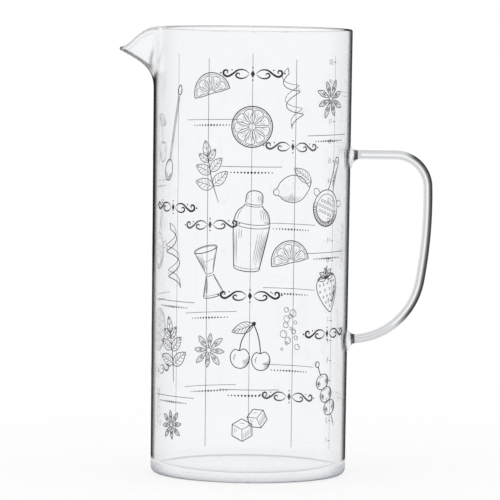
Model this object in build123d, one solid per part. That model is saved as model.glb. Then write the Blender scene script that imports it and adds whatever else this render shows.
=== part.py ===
from build123d import *
import math
import os

os.makedirs("parts", exist_ok=True)

# Clear glass cocktail pitcher: blown body with a pulled spout, bent rod handle sealed to the wall.
# Frame: origin at the middle of the standing plane, +Z up, +X towards the handle, spout at -X.

# Body, in millimetres
HEIGHT = 249.5
RIM_DIAMETER = 111.0
BASE_DIAMETER = 109.3
WALL = 2.0
FLOOR = 3.0
HEEL_RADIUS = 3.5
INNER_HEEL_RADIUS = 5.0
STANDING_RING = 5.0
PUNT = 0.8

# Spout, pulled out of the rim
SPOUT_REACH = 19.7
SPOUT_DIP = 12.2
SPOUT_DEPTH = 34.5
SPOUT_HALF_ANGLE = 27.0
SPOUT_TIP_RISE = 28.0

# Handle, a solid rod bent in one plane
ROD_DIAMETER = 5.25
HANDLE_TOP = 179.6
HANDLE_FOOT = 76.1
GRIP_HEIGHT = 154.1
FINGER_GAP = 41.1
TOP_BEND = 18.2
GRIP_BOW = 261.0
FOOT_BEND = 39.8

# Seals, the flared feet of glass that join the rod to the wall
SEAL_LENGTH = 4.6
SEAL_DIAMETER = 12.6
SEAL_LIP = 0.5
TOP_SEAL_DROOP = 1.4
DIMPLE_DEPTH = 1.2
DIMPLE_RADIUS = 14.0

# Tied sizes
HALF_WALL = WALL / 2
ROD_RADIUS = ROD_DIAMETER / 2
SEAL_RADIUS = SEAL_DIAMETER / 2
SPOUT_ROOT = HEIGHT - SPOUT_DEPTH
SEAL_SINK = SEAL_RADIUS ** 2 / BASE_DIAMETER + 1.0
SECTION_POINTS = 6


def outer_radius(z):
    """Outside radius of the tapered wall at a height."""
    return BASE_DIAMETER / 2 + (RIM_DIAMETER - BASE_DIAMETER) / 2 * z / HEIGHT


def middle_radius(z):
    """Radius of the middle of the wall at a height."""
    return outer_radius(z) - HALF_WALL


def revolve_outline(edges, arc=360.0, start=0.0):
    """Solid of revolution about Z from a closed outline in the XZ plane."""
    face = Face(Wire(edges))
    turned = face.rotate(Axis.Z, start)
    return revolve(turned, Axis.Z, arc)


def xz(r, z):
    """Point at radius r and height z in the XZ plane."""
    return Vector(r, 0, z)


# Cup: floor, heel and plain wall up to the root of the spout
def cup_solid():
    heel_r = outer_radius(HEEL_RADIUS)
    ring_out = heel_r - HEEL_RADIUS
    ring_in = ring_out - STANDING_RING
    inner_low = FLOOR + PUNT + INNER_HEEL_RADIUS
    inner_r = outer_radius(inner_low) - WALL
    k = math.sqrt(0.5)
    underside = ThreePointArc(xz(0, PUNT), xz(ring_in * 0.5, PUNT * 0.75), xz(ring_in, 0))
    ring = Line(xz(ring_in, 0), xz(ring_out, 0))
    heel_mid = xz(ring_out + HEEL_RADIUS * k, HEEL_RADIUS * (1 - k))
    heel = ThreePointArc(xz(ring_out, 0), heel_mid, xz(heel_r, HEEL_RADIUS))
    wall_out = Line(xz(heel_r, HEEL_RADIUS), xz(outer_radius(SPOUT_ROOT), SPOUT_ROOT))
    top = Line(xz(outer_radius(SPOUT_ROOT), SPOUT_ROOT), xz(outer_radius(SPOUT_ROOT) - WALL, SPOUT_ROOT))
    wall_in = Line(xz(outer_radius(SPOUT_ROOT) - WALL, SPOUT_ROOT), xz(inner_r, inner_low))
    corner = inner_r - INNER_HEEL_RADIUS
    corner_mid = xz(corner + INNER_HEEL_RADIUS * k, inner_low - INNER_HEEL_RADIUS * k)
    inner_heel = ThreePointArc(xz(inner_r, inner_low), corner_mid, xz(corner, FLOOR + PUNT))
    floor_top = Line(xz(corner, FLOOR + PUNT), xz(0, FLOOR + PUNT))
    axis = Line(xz(0, FLOOR + PUNT), xz(0, PUNT))
    return revolve_outline([underside, ring, heel, wall_out, top, wall_in, inner_heel, floor_top, axis])


def bezier(points, s):
    """Point and unit direction on a cubic of four (r, z) control points."""
    weights = ((1 - s) ** 3, 3 * s * (1 - s) ** 2, 3 * s * s * (1 - s), s ** 3)
    r = sum(w * p[0] for w, p in zip(weights, points))
    z = sum(w * p[1] for w, p in zip(weights, points))
    slopes = (3 * (1 - s) ** 2, 6 * s * (1 - s), 3 * s * s)
    dr = sum(w * (q[0] - p[0]) for w, p, q in zip(slopes, points[:-1], points[1:]))
    dz = sum(w * (q[1] - p[1]) for w, p, q in zip(slopes, points[:-1], points[1:]))
    length = math.hypot(dr, dz)
    return (r, z), (dr / length, dz / length)


# Wall section above the spout root: pull 0 is the plain wall, pull 1 the middle of the spout
def wall_section(pull):
    """Closed outline of the wall, with its round rim, in the XZ plane."""
    drop = pull ** 1.35
    end_z = HEIGHT - HALF_WALL - (SPOUT_DIP - HALF_WALL) * drop * drop * (3 - 2 * drop)
    end_r = middle_radius(end_z) + (SPOUT_REACH - HALF_WALL * 0.5) * pull
    taper = math.degrees(math.atan2((RIM_DIAMETER - BASE_DIAMETER) / 2, HEIGHT))
    plain = 90.0 - taper
    rise = math.radians(plain - (plain - SPOUT_TIP_RISE) * pull ** 0.75)
    chord = math.hypot(end_r - middle_radius(SPOUT_ROOT), end_z - SPOUT_ROOT)
    up = 0.55 * (end_z - SPOUT_ROOT)
    back = 0.475 * chord
    control = [
        (middle_radius(SPOUT_ROOT), SPOUT_ROOT),
        (middle_radius(SPOUT_ROOT + up), SPOUT_ROOT + up),
        (end_r - back * math.cos(rise), end_z - back * math.sin(rise)),
        (end_r, end_z),
    ]
    outer = []
    inner = []
    for i in range(SECTION_POINTS):
        (r, z), (dr, dz) = bezier(control, i / (SECTION_POINTS - 1))
        if i == 0:
            dr, dz = 0.0, 1.0
        outer.append(xz(r + dz * HALF_WALL, z - dr * HALF_WALL))
        inner.append(xz(r - dz * HALF_WALL, z + dr * HALF_WALL))
    (r, z), (dr, dz) = bezier(control, 1.0)
    crown = xz(r + dr * HALF_WALL, z + dz * HALF_WALL)
    if pull == 0:
        out_edge = Line(outer[0], outer[-1])
        in_edge = Line(inner[-1], inner[0])
    else:
        out_edge = Spline(outer)
        in_edge = Spline(inner[::-1])
    rim = ThreePointArc(outer[-1], crown, inner[-1])
    foot = Line(inner[0], outer[0])
    return [out_edge, rim, in_edge, foot]


def spout_solid():
    """Loft of wall sections fanned about Z across the spout."""
    shares = [0.0, 0.1, 0.2, 0.3, 0.4, 0.5, 0.6, 0.7, 0.85, 1.0]
    fan = [-u for u in shares[:0:-1]] + shares
    wires = []
    for u in fan:
        pull = 0.0 if abs(u) == 1.0 else math.cos(math.pi * u / 2) ** 4
        wire = Wire(wall_section(pull))
        wires.append(wire.rotate(Axis.Z, 180.0 + u * SPOUT_HALF_ANGLE))
    return Solid.make_loft(wires)


def cone_solid(radius_at):
    """Solid cone with the taper of the wall, over the whole height."""
    return revolve_outline(
        [
            Line(xz(0, 0), xz(radius_at(0), 0)),
            Line(xz(radius_at(0), 0), xz(radius_at(HEIGHT), HEIGHT)),
            Line(xz(radius_at(HEIGHT), HEIGHT), xz(0, HEIGHT)),
            Line(xz(0, HEIGHT), xz(0, 0)),
        ]
    )


def dimple_solid(z):
    """Shallow swelling on the inside of the wall, where the hot rod end was pressed on."""
    crown_x = outer_radius(z) - WALL - DIMPLE_DEPTH
    ball = Pos(crown_x + DIMPLE_RADIUS, 0, z) * Sphere(DIMPLE_RADIUS)
    return ball & cone_solid(middle_radius)


cup = cup_solid()
rim_band = revolve_outline(wall_section(0.0), 360.0 - 2 * SPOUT_HALF_ANGLE, 180.0 + SPOUT_HALF_ANGLE)
spout = spout_solid()
dimples = [dimple_solid(HANDLE_TOP - TOP_SEAL_DROOP), dimple_solid(HANDLE_FOOT)]
body = cup.fuse(*dimples).fuse(rim_band, spout, tol=1e-3).clean()

# Handle centre line, from the top seal to the foot seal, in the XZ plane: three bends that run on smoothly
top_end_x = outer_radius(HANDLE_TOP) + SEAL_LENGTH
foot_end_x = outer_radius(HANDLE_FOOT) + SEAL_LENGTH
grip_cx = outer_radius(GRIP_HEIGHT) + FINGER_GAP + ROD_RADIUS - GRIP_BOW
top_cz = HANDLE_TOP - TOP_BEND
top_cx = grip_cx + math.sqrt((GRIP_BOW - TOP_BEND) ** 2 - (top_cz - GRIP_HEIGHT) ** 2)
foot_cz = HANDLE_FOOT + FOOT_BEND
foot_cx = grip_cx + math.sqrt((GRIP_BOW - FOOT_BEND) ** 2 - (foot_cz - GRIP_HEIGHT) ** 2)
top_turn = math.asin((top_cz - GRIP_HEIGHT) / (GRIP_BOW - TOP_BEND))
grip_turn = math.asin((foot_cz - GRIP_HEIGHT) / (GRIP_BOW - FOOT_BEND))
foot_turn = math.acos((foot_end_x - foot_cx) / FOOT_BEND)


def bend_arc(cx, cz, radius, first, last):
    """Bend of the rod between two angles above +X, in radians."""
    ends = []
    for angle in (first, (first + last) / 2, last):
        ends.append(xz(cx + radius * math.cos(angle), cz + radius * math.sin(angle)))
    return ThreePointArc(*ends)


top_end = xz(top_end_x, HANDLE_TOP)
top_bend = bend_arc(top_cx, top_cz, TOP_BEND, math.pi / 2, top_turn)
grip = bend_arc(grip_cx, GRIP_HEIGHT, GRIP_BOW, top_turn, grip_turn)
foot_bend = bend_arc(foot_cx, foot_cz, FOOT_BEND, grip_turn, -foot_turn)
foot_end = foot_bend @ 1
path = Wire([Line(top_end, top_bend @ 0), top_bend, grip, foot_bend])
rod_face = Plane(origin=top_end, x_dir=(0, 1, 0), z_dir=(1, 0, 0)) * Circle(ROD_RADIUS)
handle = sweep(rod_face, path=path)

# Envelope of the wall, which the seals are shaped to
envelope = cone_solid(outer_radius)


def seal_solid(end, direction, droop):
    """Flared foot from a rod end to the wall, its pad drooping by the given height."""
    flare = SEAL_LENGTH - SEAL_LIP
    rise = SEAL_RADIUS - ROD_RADIUS
    bend = (flare ** 2 + rise ** 2) / (2 * rise)
    rings = []
    for share in (0.0, 0.5, 0.85, 1.0):
        along = flare * share
        radius = ROD_RADIUS + bend - math.sqrt(bend ** 2 - along ** 2)
        centre = end + direction * along - Vector(0, 0, droop * share ** 2)
        ring = Plane(origin=centre, x_dir=(0, 1, 0), z_dir=direction) * Circle(radius)
        rings.append(ring.wire())
    horn = Solid.make_loft(rings)
    pad_centre = end + direction * flare - Vector(0, 0, droop)
    pad_plane = Plane(origin=pad_centre, x_dir=(0, 1, 0), z_dir=direction)
    pad = extrude(pad_plane * Circle(SEAL_RADIUS), SEAL_LIP + SEAL_SINK)
    return horn.fuse(pad).clean().cut(envelope)


foot_direction = Vector(-math.sin(foot_turn), 0, -math.cos(foot_turn))
upper_handle_seal = seal_solid(top_end, Vector(-1, 0, 0), TOP_SEAL_DROOP)
lower_handle_seal = seal_solid(foot_end, foot_direction, 0.0)

export_step(body, "parts/body.step")
export_step(handle, "parts/handle.step")
export_step(upper_handle_seal, "parts/upper_handle_seal.step")
export_step(lower_handle_seal, "parts/lower_handle_seal.step")
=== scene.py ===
"""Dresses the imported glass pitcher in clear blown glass, a bent rod handle and a fired black print.

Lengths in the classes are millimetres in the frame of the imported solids: Z up, the spout towards -X and the
handle towards +X. Turns of the glass are degrees from the handle, so the middle of the spout is at 180.
Meshes are written in metres.
"""

import logging
import math
from dataclasses import dataclass, field
from enum import Enum
from typing import Iterable, Sequence

import bmesh
import bpy
from mathutils import Matrix, Vector

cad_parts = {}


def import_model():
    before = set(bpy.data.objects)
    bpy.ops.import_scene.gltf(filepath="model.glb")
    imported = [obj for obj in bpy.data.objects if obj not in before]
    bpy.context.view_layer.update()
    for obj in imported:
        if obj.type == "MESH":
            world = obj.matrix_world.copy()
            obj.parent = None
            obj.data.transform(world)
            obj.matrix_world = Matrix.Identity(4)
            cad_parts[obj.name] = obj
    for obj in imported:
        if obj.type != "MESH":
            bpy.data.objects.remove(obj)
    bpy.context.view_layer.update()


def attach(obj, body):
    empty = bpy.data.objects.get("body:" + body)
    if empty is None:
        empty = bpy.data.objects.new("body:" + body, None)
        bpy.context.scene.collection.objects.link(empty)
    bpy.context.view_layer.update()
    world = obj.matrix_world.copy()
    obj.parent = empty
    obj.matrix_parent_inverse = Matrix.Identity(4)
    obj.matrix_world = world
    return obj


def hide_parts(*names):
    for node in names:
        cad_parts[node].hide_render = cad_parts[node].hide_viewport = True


LOG = logging.getLogger("pitcher")
MM = 0.001
ML_PER_CUBIC_MM = 0.001

Material = bpy.types.Material
Node = bpy.types.Node
Piece = bpy.types.Object
Socket = bpy.types.NodeSocket
Tree = bpy.types.NodeTree
Point2 = tuple[float, float]
Point3 = tuple[float, float, float]
Face = tuple[int, ...]
Span = tuple[float, float]
Ramp = tuple[Point2, ...]
Shares = dict[str, float]


def polar(radius: float, degrees: float) -> Point2:
    """Gives the flat point at a radius and an anticlockwise turn from the first axis."""
    turn = math.radians(degrees)
    return radius * math.cos(turn), radius * math.sin(turn)


def steps(first: float, last: float, count: int) -> list[float]:
    """Splits a run into even steps and lists their ends, both ends of the run among them."""
    return [first + (last - first) * k / count for k in range(count + 1)]


def ease(value: float, low: float, high: float) -> float:
    """Rises smoothly from 0 at one value to 1 at another."""
    share = min(1.0, max(0.0, (value - low) / (high - low)))
    return share * share * (3.0 - 2.0 * share)


def bell(value: float, width: float) -> float:
    """Gives 1 at zero, falling smoothly to nothing on both sides."""
    return math.exp(-((value / width) ** 2))


def soft_least(first: float, second: float, blend: float) -> float:
    """Gives the smaller of two values, with a rounded change from one to the other."""
    gap = max(blend - abs(first - second), 0.0) / blend
    return min(first, second) - 0.25 * gap * gap * blend


def write_shares(piece: Piece, shares: Sequence[Shares]) -> None:
    """Writes the shares of each corner on a mesh.

    Args:
        piece: Object with the mesh.
        shares: Shares by name for each corner.
    """
    for name in shares[0]:
        layer = piece.data.attributes.new(name, "FLOAT", "POINT")
        layer.data.foreach_set("value", [share[name] for share in shares])


def mesh_object(
    name: str,
    points: Sequence[Point3],
    faces: Sequence[Face],
    materials: Sequence[Material],
    picks: Sequence[int] | None = None,
    smooth: bool = True,
) -> Piece:
    """Makes a mesh object from points in millimetres.

    Args:
        name: Name of the piece.
        points: Corners in millimetres.
        faces: Corner numbers of each face.
        materials: Materials in slot order.
        picks: Slot number of each face, or None for the first slot.
        smooth: Whether the faces are shaded smooth.

    Returns:
        The new object, riding on the part's body.
    """
    mesh = bpy.data.meshes.new(name)
    mesh.from_pydata([Vector(p) * MM for p in points], [], faces)
    for material in materials:
        mesh.materials.append(material)
    if picks is not None:
        mesh.polygons.foreach_set("material_index", list(picks))
    mesh.polygons.foreach_set("use_smooth", [smooth] * len(mesh.polygons))
    shaper = bmesh.new()
    shaper.from_mesh(mesh)
    bmesh.ops.recalc_face_normals(shaper, faces=shaper.faces)
    if shaper.calc_volume(signed=True) < 0.0:
        bmesh.ops.reverse_faces(shaper, faces=shaper.faces)
    shaper.to_mesh(mesh)
    shaper.free()
    piece = bpy.data.objects.new(name, mesh)
    bpy.context.scene.collection.objects.link(piece)
    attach(piece, "root")
    return piece


class NodeBench:
    """Lays out shader nodes in one tree."""

    # Places of the colour sockets on a Mix node
    MIX_FIRST = 6
    MIX_SECOND = 7
    MIX_RESULT = 2

    def __init__(self, tree: Tree) -> None:
        """Takes the tree to work in.

        Args:
            tree: A material's, world's or group's node tree, which is emptied.
        """
        self.tree = tree
        self.tree.nodes.clear()

    def node(self, kind: str, **values: object) -> Node:
        """Adds a node and sets its inputs.

        Args:
            kind: Blender's type name of the node.
            values: Input values by socket name, with spaces written as underscores.

        Returns:
            The node.
        """
        made = self.tree.nodes.new(kind)
        for key, value in values.items():
            made.inputs[key.replace("_", " ")].default_value = value
        return made

    def feed(self, value: object, target: Socket) -> None:
        """Sets an input, or joins it to an output.

        Args:
            value: A number, a colour or an output socket.
            target: The input.
        """
        if isinstance(value, Socket):
            self.tree.links.new(value, target)
        else:
            target.default_value = value

    def maths(self, operation: str, *inputs: object) -> Socket:
        """Adds a Math node.

        Args:
            operation: Blender's name of the sum.
            inputs: A number or an output socket for each input.

        Returns:
            The result's socket.
        """
        made = self.tree.nodes.new("ShaderNodeMath")
        made.operation = operation
        for place, value in enumerate(inputs):
            self.feed(value, made.inputs[place])
        return made.outputs[0]

    def ramp(self, factor: Socket, curve: Ramp) -> Socket:
        """Adds a grey ramp.

        Args:
            factor: What the ramp is read by.
            curve: Place and level of each stop.

        Returns:
            The level's socket.
        """
        made = self.tree.nodes.new("ShaderNodeValToRGB")
        stops = made.color_ramp.elements
        while len(stops) < len(curve):
            stops.new(1.0)
        for stop, (place, level) in zip(stops, curve):
            stop.position = place
            stop.color = (level, level, level, 1.0)
        self.feed(factor, made.inputs["Fac"])
        return made.outputs["Color"]

    def colour_mix(self, factor: object, first: object, second: object) -> Socket:
        """Adds a mix of two colours.

        Args:
            factor: Share of the second colour.
            first: Colour or output socket at 0.
            second: Colour or output socket at 1.

        Returns:
            The colour's socket.
        """
        made = self.tree.nodes.new("ShaderNodeMix")
        made.data_type = "RGBA"
        self.feed(factor, made.inputs["Factor"])
        self.feed(first, made.inputs[self.MIX_FIRST])
        self.feed(second, made.inputs[self.MIX_SECOND])
        return made.outputs[self.MIX_RESULT]

    def shader_mix(self, factor: Socket, first: Node, second: Node) -> Node:
        """Adds a mix of two shaders.

        Args:
            factor: Share of the second shader.
            first: Shader at 0.
            second: Shader at 1.

        Returns:
            The mix.
        """
        made = self.tree.nodes.new("ShaderNodeMixShader")
        for value, target in zip((factor, first.outputs[0], second.outputs[0]), made.inputs):
            self.feed(value, target)
        return made

    def surface(self, shader: Node, output: str = "ShaderNodeOutputMaterial") -> None:
        """Joins a shader to a new output of the tree."""
        self.feed(shader.outputs[0], self.node(output).inputs["Surface"])


def new_material(name: str) -> tuple[Material, NodeBench]:
    """Starts a material with an empty tree.

    Args:
        name: Name of the finish.

    Returns:
        The material and a bench in its tree.
    """
    made = bpy.data.materials.new(name)
    made.use_nodes = True
    return made, NodeBench(made.node_tree)


def melt_group() -> Tree:
    """Builds the shared effect of blown glass: slow ripples and a faint drift of tint.

    Returns:
        A node group with a Height for bumps and a Colour for the glass.
    """
    tree = bpy.data.node_groups.new("blown_glass_melt", "ShaderNodeTree")
    for name, kind, side in (
        ("Scale", "NodeSocketFloat", "INPUT"),
        ("Draw", "NodeSocketFloat", "INPUT"),
        ("Light Tint", "NodeSocketColor", "INPUT"),
        ("Deep Tint", "NodeSocketColor", "INPUT"),
        ("Height", "NodeSocketFloat", "OUTPUT"),
        ("Colour", "NodeSocketColor", "OUTPUT"),
    ):
        tree.interface.new_socket(name=name, in_out=side, socket_type=kind)
    bench = NodeBench(tree)
    inputs = bench.node("NodeGroupInput").outputs
    outputs = bench.node("NodeGroupOutput").inputs
    place = bench.node("ShaderNodeTexCoord").outputs["Object"]
    draw = bench.node("ShaderNodeCombineXYZ", X=1.0, Y=1.0)
    bench.feed(inputs["Draw"], draw.inputs["Z"])
    stretch = bench.node("ShaderNodeVectorMath")
    stretch.operation = "MULTIPLY"
    bench.feed(place, stretch.inputs[0])
    bench.feed(draw.outputs[0], stretch.inputs[1])
    ripple = bench.node("ShaderNodeTexNoise", Detail=1.0, Roughness=0.4)
    bench.feed(stretch.outputs[0], ripple.inputs["Vector"])
    bench.feed(inputs["Scale"], ripple.inputs["Scale"])
    bench.feed(ripple.outputs["Fac"], outputs["Height"])
    drift = bench.node("ShaderNodeTexNoise", Scale=18.0, Detail=2.0)
    bench.feed(stretch.outputs[0], drift.inputs["Vector"])
    tint = bench.colour_mix(drift.outputs["Fac"], inputs["Light Tint"], inputs["Deep Tint"])
    bench.feed(tint, outputs["Colour"])
    return tree


@dataclass(frozen=True)
class EdgeTone:
    """A painted shade: the share of the mesh it holds for, and how dark it turns as the glass curves away."""

    share: str
    curve: Ramp


# Painted shade for the dark edges that bent light leaves in the glass, on the body, the rod and the seals
WALL_TONE = EdgeTone("wall_share", (
    (0.0, 0.0), (0.34, 0.01), (0.51, 0.09), (0.65, 0.155), (0.682, 0.18), (0.716, 0.36),
    (0.754, 0.65), (0.80, 0.885), (0.858, 0.97), (1.0, 1.0),
))
SPOUT_TONE = EdgeTone("spout_share", (
    (0.0, 0.0), (0.22, 0.02), (0.3, 0.1), (0.37, 0.65), (0.45, 0.8), (0.58, 0.6), (0.75, 0.62),
    (0.9, 0.82), (1.0, 0.88),
))
FOLD_SHADE_TONE = EdgeTone("fold_shade_share", ((0.0, 0.5), (1.0, 0.5)))
BULGE_SHADE_TONE = EdgeTone("bulge_shade_share", (
    (0.0, 0.0), (0.63, 0.08), (0.69, 0.4), (0.73, 0.84), (0.77, 0.86), (0.83, 0.5), (0.9, 0.3), (1.0, 0.2),
))
HEEL_TONE = EdgeTone("heel_share", (
    (0.0, 0.09), (0.3, 0.11), (0.45, 0.18), (0.55, 0.3), (0.66, 0.42), (0.85, 0.52), (1.0, 0.58),
))
FOOT_TONE = EdgeTone("foot_share", ((0.0, 0.4), (1.0, 0.36)))
RIM_TONE = EdgeTone("rim_share", ((0.0, 0.27), (0.4, 0.34), (1.0, 0.5)))
TIP_TONE = EdgeTone("tip_share", ((0.0, 0.1), (0.2, 0.3), (1.0, 0.5)))
WELD_SHADE_TONE = EdgeTone("weld_shade_share", ((0.0, 0.0), (0.5, 0.08), (0.68, 0.2), (0.8, 0.7), (1.0, 0.85)))
FLOOR_TONE = EdgeTone("heel_share", ((0.0, 0.05), (1.0, 0.05)))
BEND_TONE = EdgeTone("bend_share", ((0.0, 0.34), (0.7, 0.34), (0.82, 0.06), (1.0, 0.0)))
# On the rod the painted shade is darker on the outer side of the bend than on the inner side
ROD_OUTER_TONE = EdgeTone("outer_share", (
    (0.0, 0.1), (0.005, 0.3), (0.05, 0.76), (0.146, 0.89), (0.306, 0.96), (1.0, 0.97),
))
ROD_CAP_TONE = EdgeTone("cap_share", ((0.0, 0.0), (0.09, 0.03), (0.2, 0.91), (0.306, 0.96), (1.0, 0.97)))
ROD_INNER_TONE = EdgeTone("inner_share", (
    (0.0, 0.0), (0.005, 0.02), (0.05, 0.27), (0.146, 0.38), (0.306, 0.26), (0.63, 0.1), (1.0, 0.06),
))
ROD_CORE_TONE = EdgeTone("core_share", ((0.0, 0.4), (0.005, 0.34), (0.018, 0.0), (1.0, 0.0)))
# Painted shade on the seals' edges, and a painted dark patch on their welds
SEAL_EDGE: Ramp = ((0.0, 0.0), (0.1, 0.05), (0.5, 0.2), (1.0, 0.4))
SEAL_SHADE_TONE = EdgeTone("weld_shade_share", ((0.0, 0.9), (0.4, 0.8), (0.7, 0.4), (1.0, 0.2)))

# Painted shade of each zone of the glass
WALL_TONES = (WALL_TONE, SPOUT_TONE, FOLD_SHADE_TONE, HEEL_TONE, BULGE_SHADE_TONE)
BASE_TONES = (HEEL_TONE, FOOT_TONE)
RIM_TONES = (RIM_TONE, WALL_TONE, TIP_TONE)
INSIDE_TONES = (WELD_SHADE_TONE, FLOOR_TONE, BEND_TONE)
ROD_TONES = (ROD_OUTER_TONE, ROD_CAP_TONE, ROD_INNER_TONE, ROD_CORE_TONE)
SEAL_TONES = (
    *(EdgeTone(share, SEAL_EDGE) for share in ("outer_share", "cap_share", "inner_share")),
    SEAL_SHADE_TONE,
)


@dataclass(frozen=True)
class GlassFinish:
    """Clear glass before a white ground, with painted shade for the dark rim that bent light leaves at its
    edges.
    """

    name: str
    edges: tuple[EdgeTone, ...]
    light_tint: Point3 = (0.966, 0.969, 0.98)
    deep_tint: Point3 = (0.949, 0.955, 0.972)
    ripple: float = 0.02
    ripple_scale: float = 26.0
    draw: float = 0.35
    index: float = 1.47
    # Colour and roughness of the painted edge shade
    edge_colour: Point3 = (0.02, 0.022, 0.026)
    edge_roughness: float = 0.6

    def material(self, melt: Tree) -> Material:
        """Builds the material.

        Args:
            melt: The shared group of ripples and tint.

        Returns:
            The material.
        """
        made, bench = new_material(self.name)
        path = bench.node("ShaderNodeLightPath").outputs
        # Painted shade mixed over the clear glass at its edges
        edge = bench.shader_mix(self.edge_mask(bench, path), self.clear(bench, melt), self.dark(bench))
        # Light that was mirrored twice goes straight on, so that it can't be caught inside the glass
        caught = bench.maths("GREATER_THAN", path["Glossy Depth"], 1.5)
        bench.surface(bench.shader_mix(caught, edge, bench.node("ShaderNodeBsdfTransparent")))
        return made

    def clear(self, bench: NodeBench, melt: Tree) -> Node:
        """Adds the clear glass.

        Args:
            bench: Bench in the material's tree.
            melt: The shared group of ripples and tint.

        Returns:
            The shader.
        """
        group = bench.node("ShaderNodeGroup")
        group.node_tree = melt
        group.inputs["Scale"].default_value = self.ripple_scale
        group.inputs["Draw"].default_value = self.draw
        group.inputs["Light Tint"].default_value = (*self.light_tint, 1.0)
        group.inputs["Deep Tint"].default_value = (*self.deep_tint, 1.0)
        bump = bench.node("ShaderNodeBump", Strength=self.ripple, Distance=MM)
        bench.feed(group.outputs["Height"], bump.inputs["Height"])
        glass = bench.node("ShaderNodeBsdfPrincipled", Roughness=0.0, IOR=self.index, Transmission_Weight=1.0)
        bench.feed(group.outputs["Colour"], glass.inputs["Base Color"])
        bench.feed(bump.outputs["Normal"], glass.inputs["Normal"])
        return glass

    def dark(self, bench: NodeBench) -> Node:
        """Adds the painted shade of the edges: a dark finish without gloss."""
        tone = {"Base_Color": (*self.edge_colour, 1.0), "Roughness": self.edge_roughness, "IOR": 1.0}
        return bench.node("ShaderNodeBsdfPrincipled", **tone)

    def edge_mask(self, bench: NodeBench, path: bpy.types.bpy_prop_collection) -> Socket:
        """Adds up the painted edge shade on the outer face of the glass, as seen before any matt bounce.

        Args:
            bench: Bench in the material's tree.
            path: Outputs of the light path.

        Returns:
            The share of painted shade.
        """
        # The painted shade darkens as the surface turns away from the eye
        facing = bench.node("ShaderNodeLayerWeight", Blend=0.5).outputs["Facing"]
        mask: object = 0.0
        for tone in self.edges:
            share = bench.node("ShaderNodeAttribute")
            share.attribute_name = tone.share
            mask = bench.maths("MULTIPLY_ADD", bench.ramp(facing, tone.curve), share.outputs["Fac"], mask)
        mask = bench.maths("MULTIPLY", mask, bench.maths("LESS_THAN", path["Diffuse Depth"], 0.5))
        inward = bench.node("ShaderNodeNewGeometry").outputs["Backfacing"]
        return bench.maths("MULTIPLY", mask, bench.maths("SUBTRACT", 1.0, inward))


@dataclass(frozen=True)
class FusedJoint:
    """A joint inside melted glass, which shows no surface of its own."""

    name: str = "fused_joint"

    def material(self) -> Material:
        """Builds the material.

        Returns:
            The material.
        """
        made, bench = new_material(self.name)
        bench.surface(bench.node("ShaderNodeBsdfPrincipled", Alpha=0.0))
        return made


@dataclass(frozen=True)
class EnamelFinish:
    """Black ceramic ink that was screen printed and fired on the wall."""

    name: str = "black_enamel"
    thick: Point3 = (0.012, 0.012, 0.013)
    thin: Point3 = (0.05, 0.05, 0.052)
    thinning: Ramp = ((0.4, 0.0), (0.75, 1.0))
    roughening: Ramp = ((0.3, 0.38), (0.7, 0.6))
    grain_scale: float = 900.0
    grain_depth: float = 0.1

    def material(self) -> Material:
        """Builds the material.

        Returns:
            The material.
        """
        made, bench = new_material(self.name)
        ink = bench.node("ShaderNodeBsdfPrincipled", Specular_IOR_Level=0.25)
        place = bench.node("ShaderNodeTexCoord")
        cover = bench.node("ShaderNodeTexNoise", Scale=self.grain_scale, Detail=3.0, Roughness=0.6)
        bench.feed(place.outputs["Object"], cover.inputs["Vector"])
        grain = cover.outputs["Fac"]
        tone = bench.colour_mix(bench.ramp(grain, self.thinning), (*self.thick, 1.0), (*self.thin, 1.0))
        bench.feed(tone, ink.inputs["Base Color"])
        bench.feed(bench.ramp(grain, self.roughening), ink.inputs["Roughness"])
        bump = bench.node("ShaderNodeBump", Strength=0.15, Distance=self.grain_depth * MM)
        bench.feed(grain, bump.inputs["Height"])
        bench.feed(bump.outputs["Normal"], ink.inputs["Normal"])
        bench.surface(ink)
        return made


class Zone(Enum):
    """Parts of the body's surface, numbered by material slot."""

    OUTSIDE = 0
    INSIDE = 1
    JOINT = 2
    CROWN = 3
    BASE = 4


@dataclass(frozen=True)
class WallPoint:
    """A point of the wall section."""

    r: float
    z: float
    zone: Zone


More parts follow.
